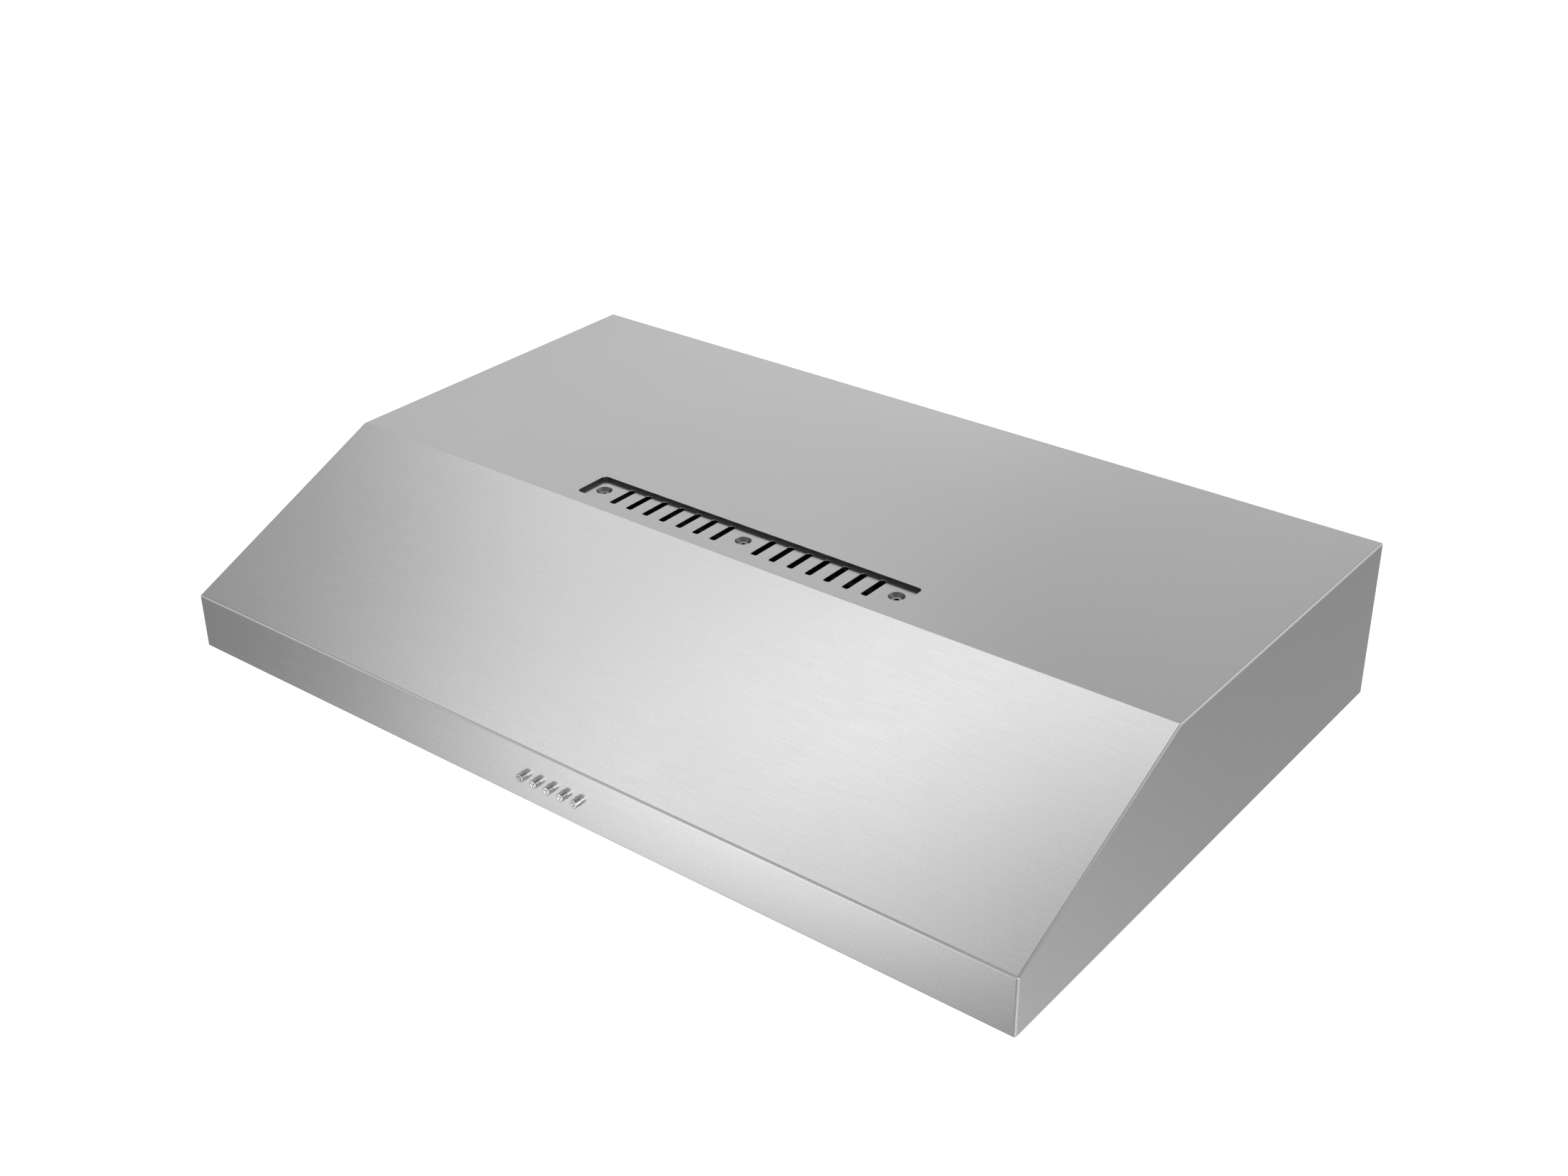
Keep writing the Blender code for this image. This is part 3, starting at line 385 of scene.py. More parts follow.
# =====================================================================================
# mesh building
# =====================================================================================
class Shape:
    """Vertices in millimetres with an edge weight each, and faces. Rings are lists of vertex numbers."""

    def __init__(self):
        self.v, self.w, self.f, self.m = [], [], [], []
        self.slot = 0

    def ring(self, points, weight=0.0):
        start = len(self.v)
        self.v.extend(tuple(p) for p in points)
        self.w.extend([weight] * (len(self.v) - start))
        return list(range(start, len(self.v)))

    def face(self, *corners):
        corners = list(dict.fromkeys(corners))
        if len(corners) > 2:
            self.f.append(tuple(corners))
            self.m.append(self.slot)

    def bridge(self, a, b, closed=True):
        n = max(len(a), len(b))
        for i in range(n if closed else n - 1):
            j = (i + 1) % n
            self.face(a[i % len(a)], a[j % len(a)], b[j % len(b)], b[i % len(b)])

    def stack(self, rings, closed=True):
        for a, b in zip(rings, rings[1:]):
            self.bridge(a, b, closed)

    def fill(self, loops):
        flat = [i for loop in loops for i in loop]
        for tri in tessellate_polygon([[Vector(self.v[i]) for i in loop] for loop in loops]):
            self.face(*(flat[t] for t in tri))

    def object(self, name, mats, body, replaces=(), angle=38.0, weighted=True):
        mesh = bpy.data.meshes.new(name)
        mesh.from_pydata([(x * MM, y * MM, z * MM) for x, y, z in self.v], [], self.f)
        mesh.update()
        attribute = mesh.attributes.new("edge", "FLOAT", "POINT")
        attribute.data.foreach_set("value", self.w)
        mats = mats if isinstance(mats, (list, tuple)) else [mats]
        for mat in mats:
            mesh.materials.append(mat)
        mesh.polygons.foreach_set("material_index", self.m)
        bm = bmesh.new()
        bm.from_mesh(mesh)
        bmesh.ops.remove_doubles(bm, verts=bm.verts, dist=2e-6)
        loose = [v for v in bm.verts if not v.link_faces]
        if loose:
            bmesh.ops.delete(bm, geom=loose, context="VERTS")
        bmesh.ops.recalc_face_normals(bm, faces=bm.faces)
        bm.to_mesh(mesh)
        bm.free()
        obj = bpy.data.objects.new(name, mesh)
        bpy.context.scene.collection.objects.link(obj)
        mesh.shade_smooth()
        mesh.set_sharp_from_angle(angle=math.radians(angle))
        if weighted:
            even = obj.modifiers.new("even_normals", "WEIGHTED_NORMAL")
            even.mode, even.weight, even.keep_sharp = "FACE_AREA", 100, True
        settle(obj, body, replaces)
        return obj


def settle(obj, body, replaces=()):
    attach(obj, body)
    if replaces:
        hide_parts(*([replaces] if isinstance(replaces, str) else replaces))


def place(axis, u, v, w):
    return {"X": (w, u, v), "Y": (u, w, v), "Z": (u, v, w)}[axis]


def rect(u0, v0, u1, v1):
    return [(u0, v0), (u1, v0), (u1, v1), (u0, v1)]


def round_rect(u0, v0, u1, v1, r, steps=6):
    out = []
    for cu, cv, start in ((u1 - r, v1 - r, 0), (u0 + r, v1 - r, 90), (u0 + r, v0 + r, 180), (u1 - r, v0 + r, 270)):
        for i in range(steps + 1):
            a = math.radians(start + 90 * i / steps)
            out.append((cu + r * math.cos(a), cv + r * math.sin(a)))
    return out


def circle(cu, cv, r, steps=32, turn=0.0):
    return [(cu + r * math.cos(turn + 2 * math.pi * i / steps), cv + r * math.sin(turn + 2 * math.pi * i / steps)) for i in range(steps)]


def area(poly):
    return sum(a[0] * b[1] - b[0] * a[1] for a, b in zip(poly, poly[1:] + poly[:1])) / 2


def inset(poly, d):
    """The outline moved inward by d at every side, its corners mitred."""
    sign = 1 if area(poly) > 0 else -1
    out = []
    for i, p in enumerate(poly):
        a, b = Vector(poly[i - 1]), Vector(poly[(i + 1) % len(poly)])
        p = Vector(p)
        d0, d1 = (p - a), (b - p)
        if d0.length < 1e-6:
            d0 = d1
        if d1.length < 1e-6:
            d1 = d0
        d0.normalize()
        d1.normalize()
        n0, n1 = Vector((-d0.y, d0.x)) * sign, Vector((-d1.y, d1.x)) * sign
        m = n0 + n1
        m = m / max(m.length_squared, 1e-6) * 2
        out.append(tuple(p + m * d))
    return out


def rounded_corners(poly, radii, steps=5):
    out = []
    for i, (p, r) in enumerate(zip(poly, radii)):
        if r <= 0:
            out.append(tuple(p))
            continue
        p, a, b = Vector(p), Vector(poly[i - 1]), Vector(poly[(i + 1) % len(poly)])
        d0, d1 = (a - p).normalized(), (b - p).normalized()
        half = d0.angle(d1) / 2
        back = r / math.tan(half)
        c = p + (d0 + d1).normalized() * (r / math.sin(half))
        s, e = p + d0 * back - c, p + d1 * back - c
        a0 = math.atan2(s.y, s.x)
        sweep = (math.atan2(e.y, e.x) - a0 + math.pi) % (2 * math.pi) - math.pi
        for k in range(steps + 1):
            t = a0 + sweep * k / steps
            out.append((c.x + r * math.cos(t), c.y + r * math.sin(t)))
    return out


def arc_profile(f, steps=4):
    """(inset, depth, weight) down a rounded edge of radius f, from the flat to the wall."""
    out = []
    for k in range(steps + 1):
        a = math.pi / 2 * k / steps
        out.append((f * (1 - math.sin(a)), f * (1 - math.cos(a)), 1.0 if 0 < k < steps else 0.0))
    return out


def plate(shape, outline, holes, axis, outer, inner, f_out=0.3, f_in=0.2, steps=3):
    """A flat sheet between two planes across the axis, with rounded edges round its outline and its holes."""
    way = 1 if inner > outer else -1
    thick = abs(inner - outer)
    tops, bottoms = [], []
    for n, path in enumerate([outline] + list(holes)):
        sign = 1 if n == 0 else -1
        rings = []
        for i, d, w in arc_profile(f_out, steps):
            rings.append(shape.ring([place(axis, u, v, outer + way * d) for u, v in inset(path, sign * i)], w))
        for i, d, w in reversed(arc_profile(f_in, 2)):
            rings.append(shape.ring([place(axis, u, v, outer + way * (thick - d)) for u, v in inset(path, sign * i)], w))
        shape.stack(rings)
        tops.append(rings[0])
        bottoms.append(rings[-1])
    shape.fill(tops)
    shape.fill(bottoms)


def lathe(shape, profile, axis, centre, steps=48, closed=False, turn=0.0):
    """A turned shape. Each profile entry is (radius, along) or (radius, along, edge weight)."""
    rings = []
    for entry in profile:
        r, w = entry[:2]
        weight = entry[2] if len(entry) > 2 else 0.0
        if r < 1e-6:
            rings.append(shape.ring([place(axis, centre[0], centre[1], w)], weight))
        else:
            rings.append(shape.ring([place(axis, u, v, w) for u, v in circle(centre[0], centre[1], r, steps, turn)], weight))
    shape.stack(rings + ([rings[0]] if closed else []))
    return rings


def soft_profile(points, radii, steps=3, closed=False):
    """A turned profile with its corners rounded, weights marking the rounded parts."""
    out = []
    n = len(points)
    for i, (p, r) in enumerate(zip(points, radii)):
        if r <= 0 or (not closed and i in (0, n - 1)):
            out.append((*p, 0.0))
            continue
        p, a, b = Vector(p), Vector(points[i - 1]), Vector(points[(i + 1) % n])
        d0, d1 = (a - p).normalized(), (b - p).normalized()
        half = d0.angle(d1) / 2
        if half > math.radians(88):
            out.append((*p, 0.0))
            continue
        back = r / math.tan(half)
        c = p + (d0 + d1).normalized() * (r / math.sin(half))
        s, e = p + d0 * back - c, p + d1 * back - c
        a0 = math.atan2(s.y, s.x)
        sweep = (math.atan2(e.y, e.x) - a0 + math.pi) % (2 * math.pi) - math.pi
        for k in range(steps + 1):
            t = a0 + sweep * k / steps
            out.append((c.x + r * math.cos(t), c.y + r * math.sin(t), 1.0 if 0 < k < steps else 0.0))
    return out


def refined(node, mat, width, body="canopy", segments=2, angle=32.0, name=None, crease=38.0):
    """A CAD node's own shape with clean faces and small rounds on its edges."""
    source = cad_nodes[node].data
    bm = bmesh.new()
    bm.from_mesh(source)
    for layer in list(bm.loops.layers.uv):
        bm.loops.layers.uv.remove(layer)
    bmesh.ops.remove_doubles(bm, verts=bm.verts, dist=2e-6)
    bmesh.ops.dissolve_limit(bm, angle_limit=math.radians(1.0), verts=bm.verts, edges=bm.edges)
    bmesh.ops.dissolve_degenerate(bm, dist=1e-6, edges=bm.edges)
    bmesh.ops.recalc_face_normals(bm, faces=bm.faces)
    for face in bm.faces:
        face.smooth = True
    mesh = bpy.data.meshes.new(name or node + "_finished")
    bm.to_mesh(mesh)
    bm.free()
    obj = bpy.data.objects.new(mesh.name, mesh)
    bpy.context.scene.collection.objects.link(obj)
    mod = obj.modifiers.new("rounds", "BEVEL")
    mod.width, mod.segments, mod.limit_method, mod.angle_limit = width * MM, segments, "ANGLE", math.radians(angle)
    mod.miter_outer, mod.use_clamp_overlap = "MITER_SHARP", True
    graph = bpy.context.evaluated_depsgraph_get()
    final = bpy.data.meshes.new_from_object(obj.evaluated_get(graph))
    obj.modifiers.clear()
    obj.data = final
    final.name = obj.name
    # edge weight: a vertex in the middle of a round has faces well apart in direction, all of them narrow
    bm = bmesh.new()
    bm.from_mesh(final)
    bmesh.ops.recalc_face_normals(bm, faces=bm.faces)
    layer = bm.verts.layers.float.new("edge")
    for vert in bm.verts:
        normals = [f.normal for f in vert.link_faces]
        spread = max((a.angle(b, 0.0) for a in normals for b in normals), default=0.0)
        vert[layer] = 1.0 if spread > math.radians(36) else 0.0
    bm.to_mesh(final)
    bm.free()
    final.materials.clear()
    final.materials.append(mat)
    final.shade_smooth()
    final.set_sharp_from_angle(angle=math.radians(crease))
    even = obj.modifiers.new("even_normals", "WEIGHTED_NORMAL")
    even.mode, even.weight, even.keep_sharp = "FACE_AREA", 100, True
    settle(obj, body, node)
    return obj


def finish_node(node, mat):
    """Gives a CAD node that stays a new material in its own slots."""
    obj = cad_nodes[node]
    if not obj.material_slots:
        obj.data.materials.append(mat)
    for slot in obj.material_slots:
        slot.material = mat


# =====================================================================================
# canopy skin: top, pressed outlet recess, slope and front band in one folded sheet
# =====================================================================================
def bend_stations(p, r, a, b, steps):
    """Points and outward normals round a bend at p between the straight runs from a and to b."""
    p, a, b = Vector(p), Vector(a), Vector(b)
    d0, d1 = (p - a).normalized(), (b - p).normalized()
    n0, n1 = Vector((d0.y, -d0.x)), Vector((d1.y, -d1.x))
    turn = d0.angle_signed(d1)
    back = r * math.tan(abs(turn) / 2)
    centre = p - d0 * back - n0 * r
    a0 = math.atan2(n0.y, n0.x)
    out = []
    for k in range(steps + 1):
        t = a0 - turn * k / steps
        n = Vector((math.cos(t), math.sin(t)))
        out.append((centre + n * r, n))
    return out


def canopy_skin():
    s = Shape()
    pts = [(REAR, 0.0), (KNEE, 0.0), (FRONT, BAND_TOP), (FRONT, -HEIGHT)]
    first = bend_stations(pts[1], BEND, pts[0], pts[2], 5)
    second = bend_stations(pts[2], BEND, pts[1], pts[3], 8)
    up, ahead = Vector((0, 1)), Vector((-1, 0))
    tiny = 0.18
    fo = 1.45  # outer radius of the edge folded down over the side panel

    def loop(point, normal, shrink=0.0, weight=0.0, peel=0.0):
        """Cross-section of the sheet at one place along the fold: the right edge, then the left edge."""
        profile = [(HALF - i - shrink, d, w) for i, d, w in arc_profile(fo, 6)]
        profile += [(HALF - SHEET - (fo - SHEET) * (1 - math.cos(t)), fo - (fo - SHEET) * math.sin(t), 0.0) for t in (0.0, math.pi / 4, math.pi / 2)]
        profile = [(x, max(d, shrink, peel), w) for x, d, w in profile]
        profile += [(-x, d, w) for x, d, w in reversed(profile)]
        ring = []
        for x, d, w in profile:
            q = point - normal * d
            ring += s.ring([(x, q.x, q.y)], max(w, weight))
        return ring

    half = 10  # vertices down one edge
    loops = [loop(Vector(pts[0]), up, tiny), loop(Vector(pts[0]) + Vector((-tiny, 0)), up)]
    loops += [loop(p, n, 0, 1.0 if 0 < k < 5 else 0.0) for k, (p, n) in enumerate(first)]
    loops += [loop(p, n, 0, 1.0 if 0 < k < 8 else 0.0) for k, (p, n) in enumerate(second)]
    top_at, band_at = 1, len(loops) - 1
    foot_r = 0.84
    for k in range(5):
        t = math.pi / 2 * k / 4
        loops.append(loop(Vector(pts[3]) + Vector((0, foot_r * (1 - math.sin(t)))), ahead, 0.0, 1.0 if 0 < k < 4 else 0.0, foot_r * (1 - math.cos(t))))
    for k, (a, b) in enumerate(zip(loops, loops[1:])):
        n = len(a)
        for i in range(n):
            j = (i + 1) % n
            if k in (top_at, band_at) and (i == n - 1 or i == n // 2 - 1):
                continue
            s.face(a[i], a[j], b[j], b[i])
    s.face(*loops[0])
    s.face(*loops[-1])

    # recess: outer and inner skins of the pressing
    def tray(profile):
        return [s.ring([(u, v, z) for u, v in round_rect(-RECESS_HALF - o, RECESS_FRONT - o, RECESS_HALF + o, RECESS_BACK + o, RECESS_R + o, 8)], w)
                for o, z, w in profile]

    rim, root = 0.45, 0.28
    down = [(rim * (1 - math.sin(t)), -rim * (1 - math.cos(t)), 1.0 if 0 < k < 4 else 0.0) for k in range(5) for t in (math.pi / 2 * k / 4,)]
    foot = [(-0.02 - root * (1 - math.cos(t)), -RECESS_DEEP + root * (1 - math.sin(t)), 0.0) for k in range(5) for t in (math.pi / 2 * k / 4,)]
    outer = tray(down + foot)
    s.stack(outer[:5])
    # Painted shade: the recess walls take the near-black steel of slot 1, standing in for the shade inside the recess.
    s.slot = 1
    s.stack(outer[4:9])
    s.slot = 0
    s.stack(outer[8:])
    under = tray([(SHEET + 0.25, -SHEET, 0), (SHEET, -SHEET - 0.25, 0), (SHEET - 0.3, -RECESS_DEEP - 0.2, 0), (SHEET - 1.0, -RECESS_DEEP - SHEET, 0)])
    s.stack(under)

    def through(path_at, rings):
        got = [s.ring([(u, v, z) for u, v in path_at(o)], w) for o, z, w in rings]
        s.stack(got)
        return got[0], got[-1]

    floor, ceiling = -RECESS_DEEP, -RECESS_DEEP - SHEET
    upper, lower = [outer[-1]], [under[-1]]
    for x in SLOT_X:
        a, b = through(lambda o, x=x: round_rect(x - SLOT_W / 2 - o, SLOT_FRONT - o, x + SLOT_W / 2 + o, SLOT_BACK + o, 2.0 + o, 6),
                       [(0.22, floor, 0), (0.06, floor - 0.06, 1), (0.0, floor - 0.22, 0), (0.0, ceiling + 0.1, 0), (0.1, ceiling, 0)])
        upper.append(a)
        lower.append(b)
    for x, y in DIMPLES:
        rings = [(6.60, floor, 0), (6.38, floor - 0.05, 1), (6.20, floor - 0.2, 0), (4.00, -6.18, 0), (3.80, -6.34, 0), (3.60, -6.40, 0), (2.20, -6.40, 0), (2.03, -6.5, 1),
                 (2.0, -6.7, 0), (2.0, -7.2, 0), (2.15, -7.3, 0), (4.5, -7.3, 0), (4.8, -7.1, 0), (7.0, ceiling - 0.15, 0), (7.3, ceiling, 0)]
        got = [s.ring([(u, v, z) for u, v in circle(x, y, r, 40)], w) for r, z, w in rings]
        s.stack(got[:3])
        # Painted shade: the dimple cones take the darkened steel of slot 2, standing in for the shade inside the
        # dimples.
        s.slot = 2
        s.stack(got[2:5])
        s.slot = 0
        s.stack(got[4:])
        upper.append(got[0])
        lower.append(got[-1])
    s.fill(upper)
    s.fill(lower)
    a, b = loops[top_at], loops[top_at + 1]
    s.fill([[a[0], b[0], b[-1], a[-1]], outer[0]])
    s.fill([[a[half - 1], b[half - 1], b[half], a[half]], under[0]])

    # band with the button holes
    a, b = loops[band_at], loops[band_at + 1]
    front_rings, back_rings = [], []
    for x in BUTTON_X:
        got = []
        for o, y, w in ((0.10, FRONT, 0), (0.03, FRONT + 0.03, 1), (0.0, FRONT + 0.10, 0), (0.0, FRONT + SHEET - 0.1, 0), (0.1, FRONT + SHEET, 0)):
            got.append(s.ring([(u, y, v) for u, v in circle(x, BUTTON_Z, BUTTON_R + 0.12 + o, 48)], w))
        s.stack(got)
        front_rings.append(got[0])
        back_rings.append(got[-1])
    s.fill([[a[0], b[0], b[-1], a[-1]]] + front_rings)
    s.fill([[a[half - 1], b[half - 1], b[half], a[half]]] + back_rings)

    # lip turned in along the foot of the band
    plate(s, rect(-HALF + 14, FRONT + SHEET - 0.1, HALF - 14, FRONT + 14.5), [circle(x, y, 2.1, 20) for x, y in PAN_SCREWS[:3]], "Z", LIP_Z, LIP_Z + SHEET, 0.2, 0.2, 2)
    return s.object("canopy_skin", [STEEL_X, STEEL_WALL_PAINTED_SHADE, STEEL_CONE_PAINTED_SHADE], "canopy", "canopy_shell")


canopy_skin()

# =====================================================================================
# side panels
# =====================================================================================
inside = SHEET + GAP
slope_angle = math.atan2(-BAND_TOP, KNEE - FRONT)
shift = inside * math.tan(slope_angle / 2)
shift_front = inside * math.tan((math.pi / 2 - slope_angle) / 2)


def side_skin(side, sign):
    s = Shape()
    inside = 1.53
    shift, shift_front = inside * math.tan(slope_angle / 2), inside * math.tan((math.pi / 2 - slope_angle) / 2)
    outline = [(REAR, -inside), (KNEE + shift, -inside), (FRONT + inside, BAND_TOP - shift_front), (FRONT + inside, -HEIGHT), (REAR, -HEIGHT)]
    path = rounded_corners(outline, (0.4, 1.4, 1.4, 0.4, 0.4), 6)
    plate(s, path, [], "X", sign * HALF, sign * (HALF - SHEET), 0.14, 0.2, 3)
    # flange turned in under the skin, open at the rear and at the foot
    run = rounded_corners(outline[:4] + [(REAR, -HEIGHT)], (0, 1.3, 1.3, 0, 0), 6)[:-1]
    closed = run + list(reversed(open_inset(run, SHEET)))
    x0, x1 = sign * (HALF - SHEET + 0.05), sign * (HALF - 12.0)
    rings = []
    for x, d in ((x0, 0.0), (x1 - sign * -0.15, 0.0), (x1, 0.15)):
        rings.append(s.ring([(x, u, v) for u, v in inset(closed, d)], 0))
    s.stack(rings)
    s.fill([rings[0]])
    s.fill([rings[-1]])
    lo, hi = sorted((sign * (HALF - SHEET + 0.05), sign * (HALF - 12.0)))
    plate(s, rect(lo, FRONT + inside + SHEET + 0.2, hi, REAR - 1.4), [], "Z", LIP_Z, LIP_Z + SHEET, 0.2, 0.2, 2)
    s.object(f"{side}_side_skin", STEEL_Y, "canopy", f"{side}_side_panel")


def open_inset(run, d):
    """An open path moved to its right by d."""
    out = []
    for i, p in enumerate(run):
        a = Vector(run[max(i - 1, 0)])
        b = Vector(run[min(i + 1, len(run) - 1)])
        p = Vector(p)
        d0 = (p - a).normalized() if i else (b - p).normalized()
        d1 = (b - p).normalized() if i < len(run) - 1 else d0
        n0, n1 = Vector((-d0.y, d0.x)), Vector((-d1.y, d1.x))
        m = n0 + n1
        m = m / max(m.length_squared, 1e-6) * 2
        out.append(tuple(p + m * d))
    return out


side_skin("left", -1)
side_skin("right", 1)


# =====================================================================================
# rear: back panel, outlet cover, screws
# =====================================================================================
def keyhole(x):
    head = 5.0
    half = 2.6
    start = math.asin(half / head)
    out = [(x + head * math.sin(a), -50.0 + head * math.cos(a)) for a in (start + (2 * math.pi - 2 * start) * k / 24 for k in range(25))]
    out += [(x - half, -36.5)] + [(x + half * math.cos(a), -36.6 + half * math.sin(a)) for a in (math.pi - math.pi * k / 8 for k in range(1, 8))] + [(x + half, -36.5)]
    return out


def back_skin():
    s = Shape()
    bx = HALF - SHEET - GAP
    holes = [round_rect(-DUCT_W / 2, DUCT_Z - DUCT_H / 2, DUCT_W / 2, DUCT_Z + DUCT_H / 2, 3, 5), circle(-305.0, -28.0, 10.4, 36), keyhole(-205.0), keyhole(205.0)]
    holes += [circle(x, z, 2.1, 20) for x, z in DUCT_SCREWS]
    plate(s, rounded_corners(rect(-bx, -HEIGHT, bx, -inside), (0.6,) * 4, 3), holes, "Y", REAR, REAR - SHEET, 0.22, 0.2, 2)
    plate(s, rect(-HALF + 14, REAR - 14.5, HALF - 14, REAR - SHEET + 0.1), [circle(x, y, 2.1, 20) for x, y in PAN_SCREWS[3:]], "Z", LIP_Z, LIP_Z + SHEET, 0.2, 0.2, 2)
    plate(s, rect(-HALF + 14, REAR - 14.5, HALF - 14, REAR - SHEET + 0.1), [], "Z", -inside - SHEET, -inside, 0.2, 0.2, 2)
    s.object("back_panel_skin", ZINC, "canopy", "back_panel")
    s = Shape()
    outline = round_rect(-DUCT_W / 2 - 18, DUCT_Z - DUCT_H / 2 - 7, DUCT_W / 2 + 18, DUCT_Z + DUCT_H / 2 + 7, 3, 5)
    plate(s, outline, [circle(x, z, 2.1, 20) for x, z in DUCT_SCREWS], "Y", REAR - SHEET - GAP, REAR - SHEET - GAP - 1.0, 0.2, 0.2, 2)
    s.object("rear_duct_cover_skin", ZINC, "canopy", "rear_duct_cover")


back_skin()


def screw(name, node, axis, centre, head_at, way, head_r, head_h, shank_r, tip_at):
    """Pan-head screw with a cross recess. way is the direction along the axis in which the head faces."""
    s = Shape()
    steps = 48
    radii = [0.0, 0.35, 0.6, 0.85, 1.1, 1.35, 1.6, 1.85, 2.1, 2.4, 2.7, 3.0, 3.25, 3.45, 3.5]
    scale = head_r / 3.5
    rings = []
    for r in radii:
        t = r / 3.5
        dome = head_h * (1 - 0.34 * t * t) if r < 3.4 else head_h * (0.52 if r < 3.48 else 0.30)
        points = []
        for u, v in ([(0.0, 0.0)] if r == 0 else circle(0, 0, r, steps)):
            a, b = sorted((abs(u), abs(v)))
            cut = 0.0
            if a < 0.46 and b < 1.95:
                cut = min(1.0, (1.95 - b) / 0.5) * 0.78 * head_h
            elif a < 0.95 and b < 0.95:
                cut = 0.55 * head_h
            points.append(place(axis, centre[0] + u * scale, centre[1] + v * scale, head_at + way * (dome - cut)))
        rings.append(s.ring(points, 1.0 if r > 3.0 else 0.0))
    rings.append(s.ring([place(axis, centre[0] + u, centre[1] + v, head_at) for u, v in circle(0, 0, head_r, steps)]))
    rings.append(s.ring([place(axis, centre[0] + u, centre[1] + v, head_at) for u, v in circle(0, 0, shank_r, steps)]))
    length = abs(tip_at - head_at)
    turns = int(length / 1.0)
    for k in range(2 * turns):
        w = head_at - way * (0.4 + (length - 1.0) * k / (2 * turns))
        r = shank_r if k % 2 else shank_r - 0.28
        rings.append(s.ring([place(axis, centre[0] + u, centre[1] + v, w) for u, v in circle(0, 0, r, steps)]))
    rings.append(s.ring([place(axis, centre[0], centre[1], tip_at)]))
    s.stack(rings)
    s.object(name, ZINC_BRIGHT, "canopy", node, 50.0)


for n, (x, z) in enumerate(DUCT_SCREWS, 1):
    at = REAR - SHEET - 2 * GAP - 1.0
    screw(f"duct_screw_head_{n}", f"duct_cover_screw_{n}", "Y", (x, z), at, -1, 3.6, 2.2, 1.7, REAR - 0.3)
for n, (x, y) in enumerate(PAN_SCREWS, 1):
    at = LIP_Z - GAP
    screw(f"pan_screw_head_{n}", f"pan_screw_{n}", "Z", (x, y), at, -1, 3.5, 1.3, 1.7, PAN_Z + 6.0)


# =====================================================================================
# underside: pan, filters, latches, lamps
# =====================================================================================
def pan_skin():
    s = Shape()
    holes = []
    for g in (-1, 1):
        x0, x1 = sorted((g * (FILTER_IN - 2), g * (FILTER_OUT + 2)))
        holes.append(round_rect(x0, FILTER_FRONT - 2.2, x1, FILTER_REAR + 3.0, 2.5, 5))
        holes.append(circle(g * LAMP_X, LAMP_Y, 30.6, 56))
    holes += [circle(x, y, 2.1, 20) for x, y in PAN_SCREWS]
    plate(s, rounded_corners(rect(-376.0, FRONT + 4.0, 376.0, REAR - 3.5), (1.5,) * 4, 4), holes, "Z", PAN_Z, PAN_Z + SHEET, 0.28, 0.2, 3)
    s.object("underside_pan_skin", STEEL_X, "canopy", "underside_pan")


pan_skin()


def channel_profile():
    """C-channel across a filter rail as (distance in from the outer edge, height above its low face)."""
    t, w, h = 0.9, 12.0, FILTER_T
    raw = [(0, 0), (w, 0), (w, t), (1.0, t), (1.0, h - t), (w, h - t), (w, h), (0, h)]
    return rounded_corners(raw, (1.0, 0.35, 0.35, 0.3, 0.3, 0.35, 0.35, 1.0), 3)


def filter_frame(side, g):
    s = Shape()
    x0, x1 = sorted((g * FILTER_IN, g * FILTER_OUT))
    y0, y1, z0 = FILTER_FRONT, FILTER_REAR, FILTER_LOW
    mid = (x0 + x1) / 2
    profile = channel_profile()
    hair = 0.10

    def rail(point_at, lo_of, hi_of, cuts=()):
        """One mitred rail. point_at turns (along, in, height) into a point."""
        a = s.ring([point_at(lo_of(d), d, h) for d, h in profile])
        b = s.ring([point_at(hi_of(d), d, h) for d, h in profile])
        s.bridge(a, b)
        s.fill_section(a)
        s.fill_section(b)

    def fill_section(ring):
        count = len(profile)
        loops = [[Vector((p[0], p[1], 0)) for p in profile]]
        for tri in tessellate_polygon(loops):
            s.face(*(ring[t] for t in tri))

    s.fill_section = fill_section
    rail(lambda a, d, h: (a, y1 - d, z0 + h), lambda d: x0 + d + hair, lambda d: x1 - d - hair)
    rail(lambda a, d, h: (x0 + d, a, z0 + h), lambda d: y0 + d + hair, lambda d: y1 - d - hair)
    rail(lambda a, d, h: (x1 - d, a, z0 + h), lambda d: y0 + d + hair, lambda d: y1 - d - hair)
    # the front rail is open at its middle for the latch
    rail(lambda a, d, h: (a, y0 + d, z0 + h), lambda d: x0 + d + hair, lambda d: mid - 10.0)
    rail(lambda a, d, h: (a, y0 + d, z0 + h), lambda d: mid + 10.0, lambda d: x1 - d - hair)
    upper = [(d, h) for d, h in [(0.0, 5.0), (1.0, 5.0), (1.0, 7.1), (12.0, 7.1), (12.0, 8.0), (0.6, 8.0), (0.0, 7.4)]]
    a = s.ring([(mid - 10.0, y0 + d, z0 + h) for d, h in upper])
    b = s.ring([(mid + 10.0, y0 + d, z0 + h) for d, h in upper])
    s.bridge(a, b)
    for ring in (a, b):
        for tri in tessellate_polygon([[Vector((p[0], p[1], 0)) for p in upper]]):
            s.face(*(ring[t] for t in tri))
    for dx in (-110, 110):
        plate(s, round_rect(mid + dx - 9, y1 - 1.0, mid + dx + 9, y1 + 5.5, 1.2, 4), [], "Z", PAN_Z + SHEET + 0.4, PAN_Z + SHEET + 1.4, 0.2, 0.2, 2)
    # staked corner joints: four small rivets through the mitres on the low face
    for cx, cy in ((x0 + 6, y0 + 6), (x1 - 6, y0 + 6), (x0 + 6, y1 - 6), (x1 - 6, y1 - 6)):
        lathe(s, [(0, z0 - 0.42), (0.9, z0 - 0.36), (1.5, z0 - 0.2, 1), (1.75, z0 + 0.05), (1.2, z0 + 0.1), (0, z0 + 0.1)], "Z", (cx, cy), 20)
    s.object(f"{side}_filter_rails", ALU_X, f"{side}_filter", f"{side}_filter_frame", 40.0)


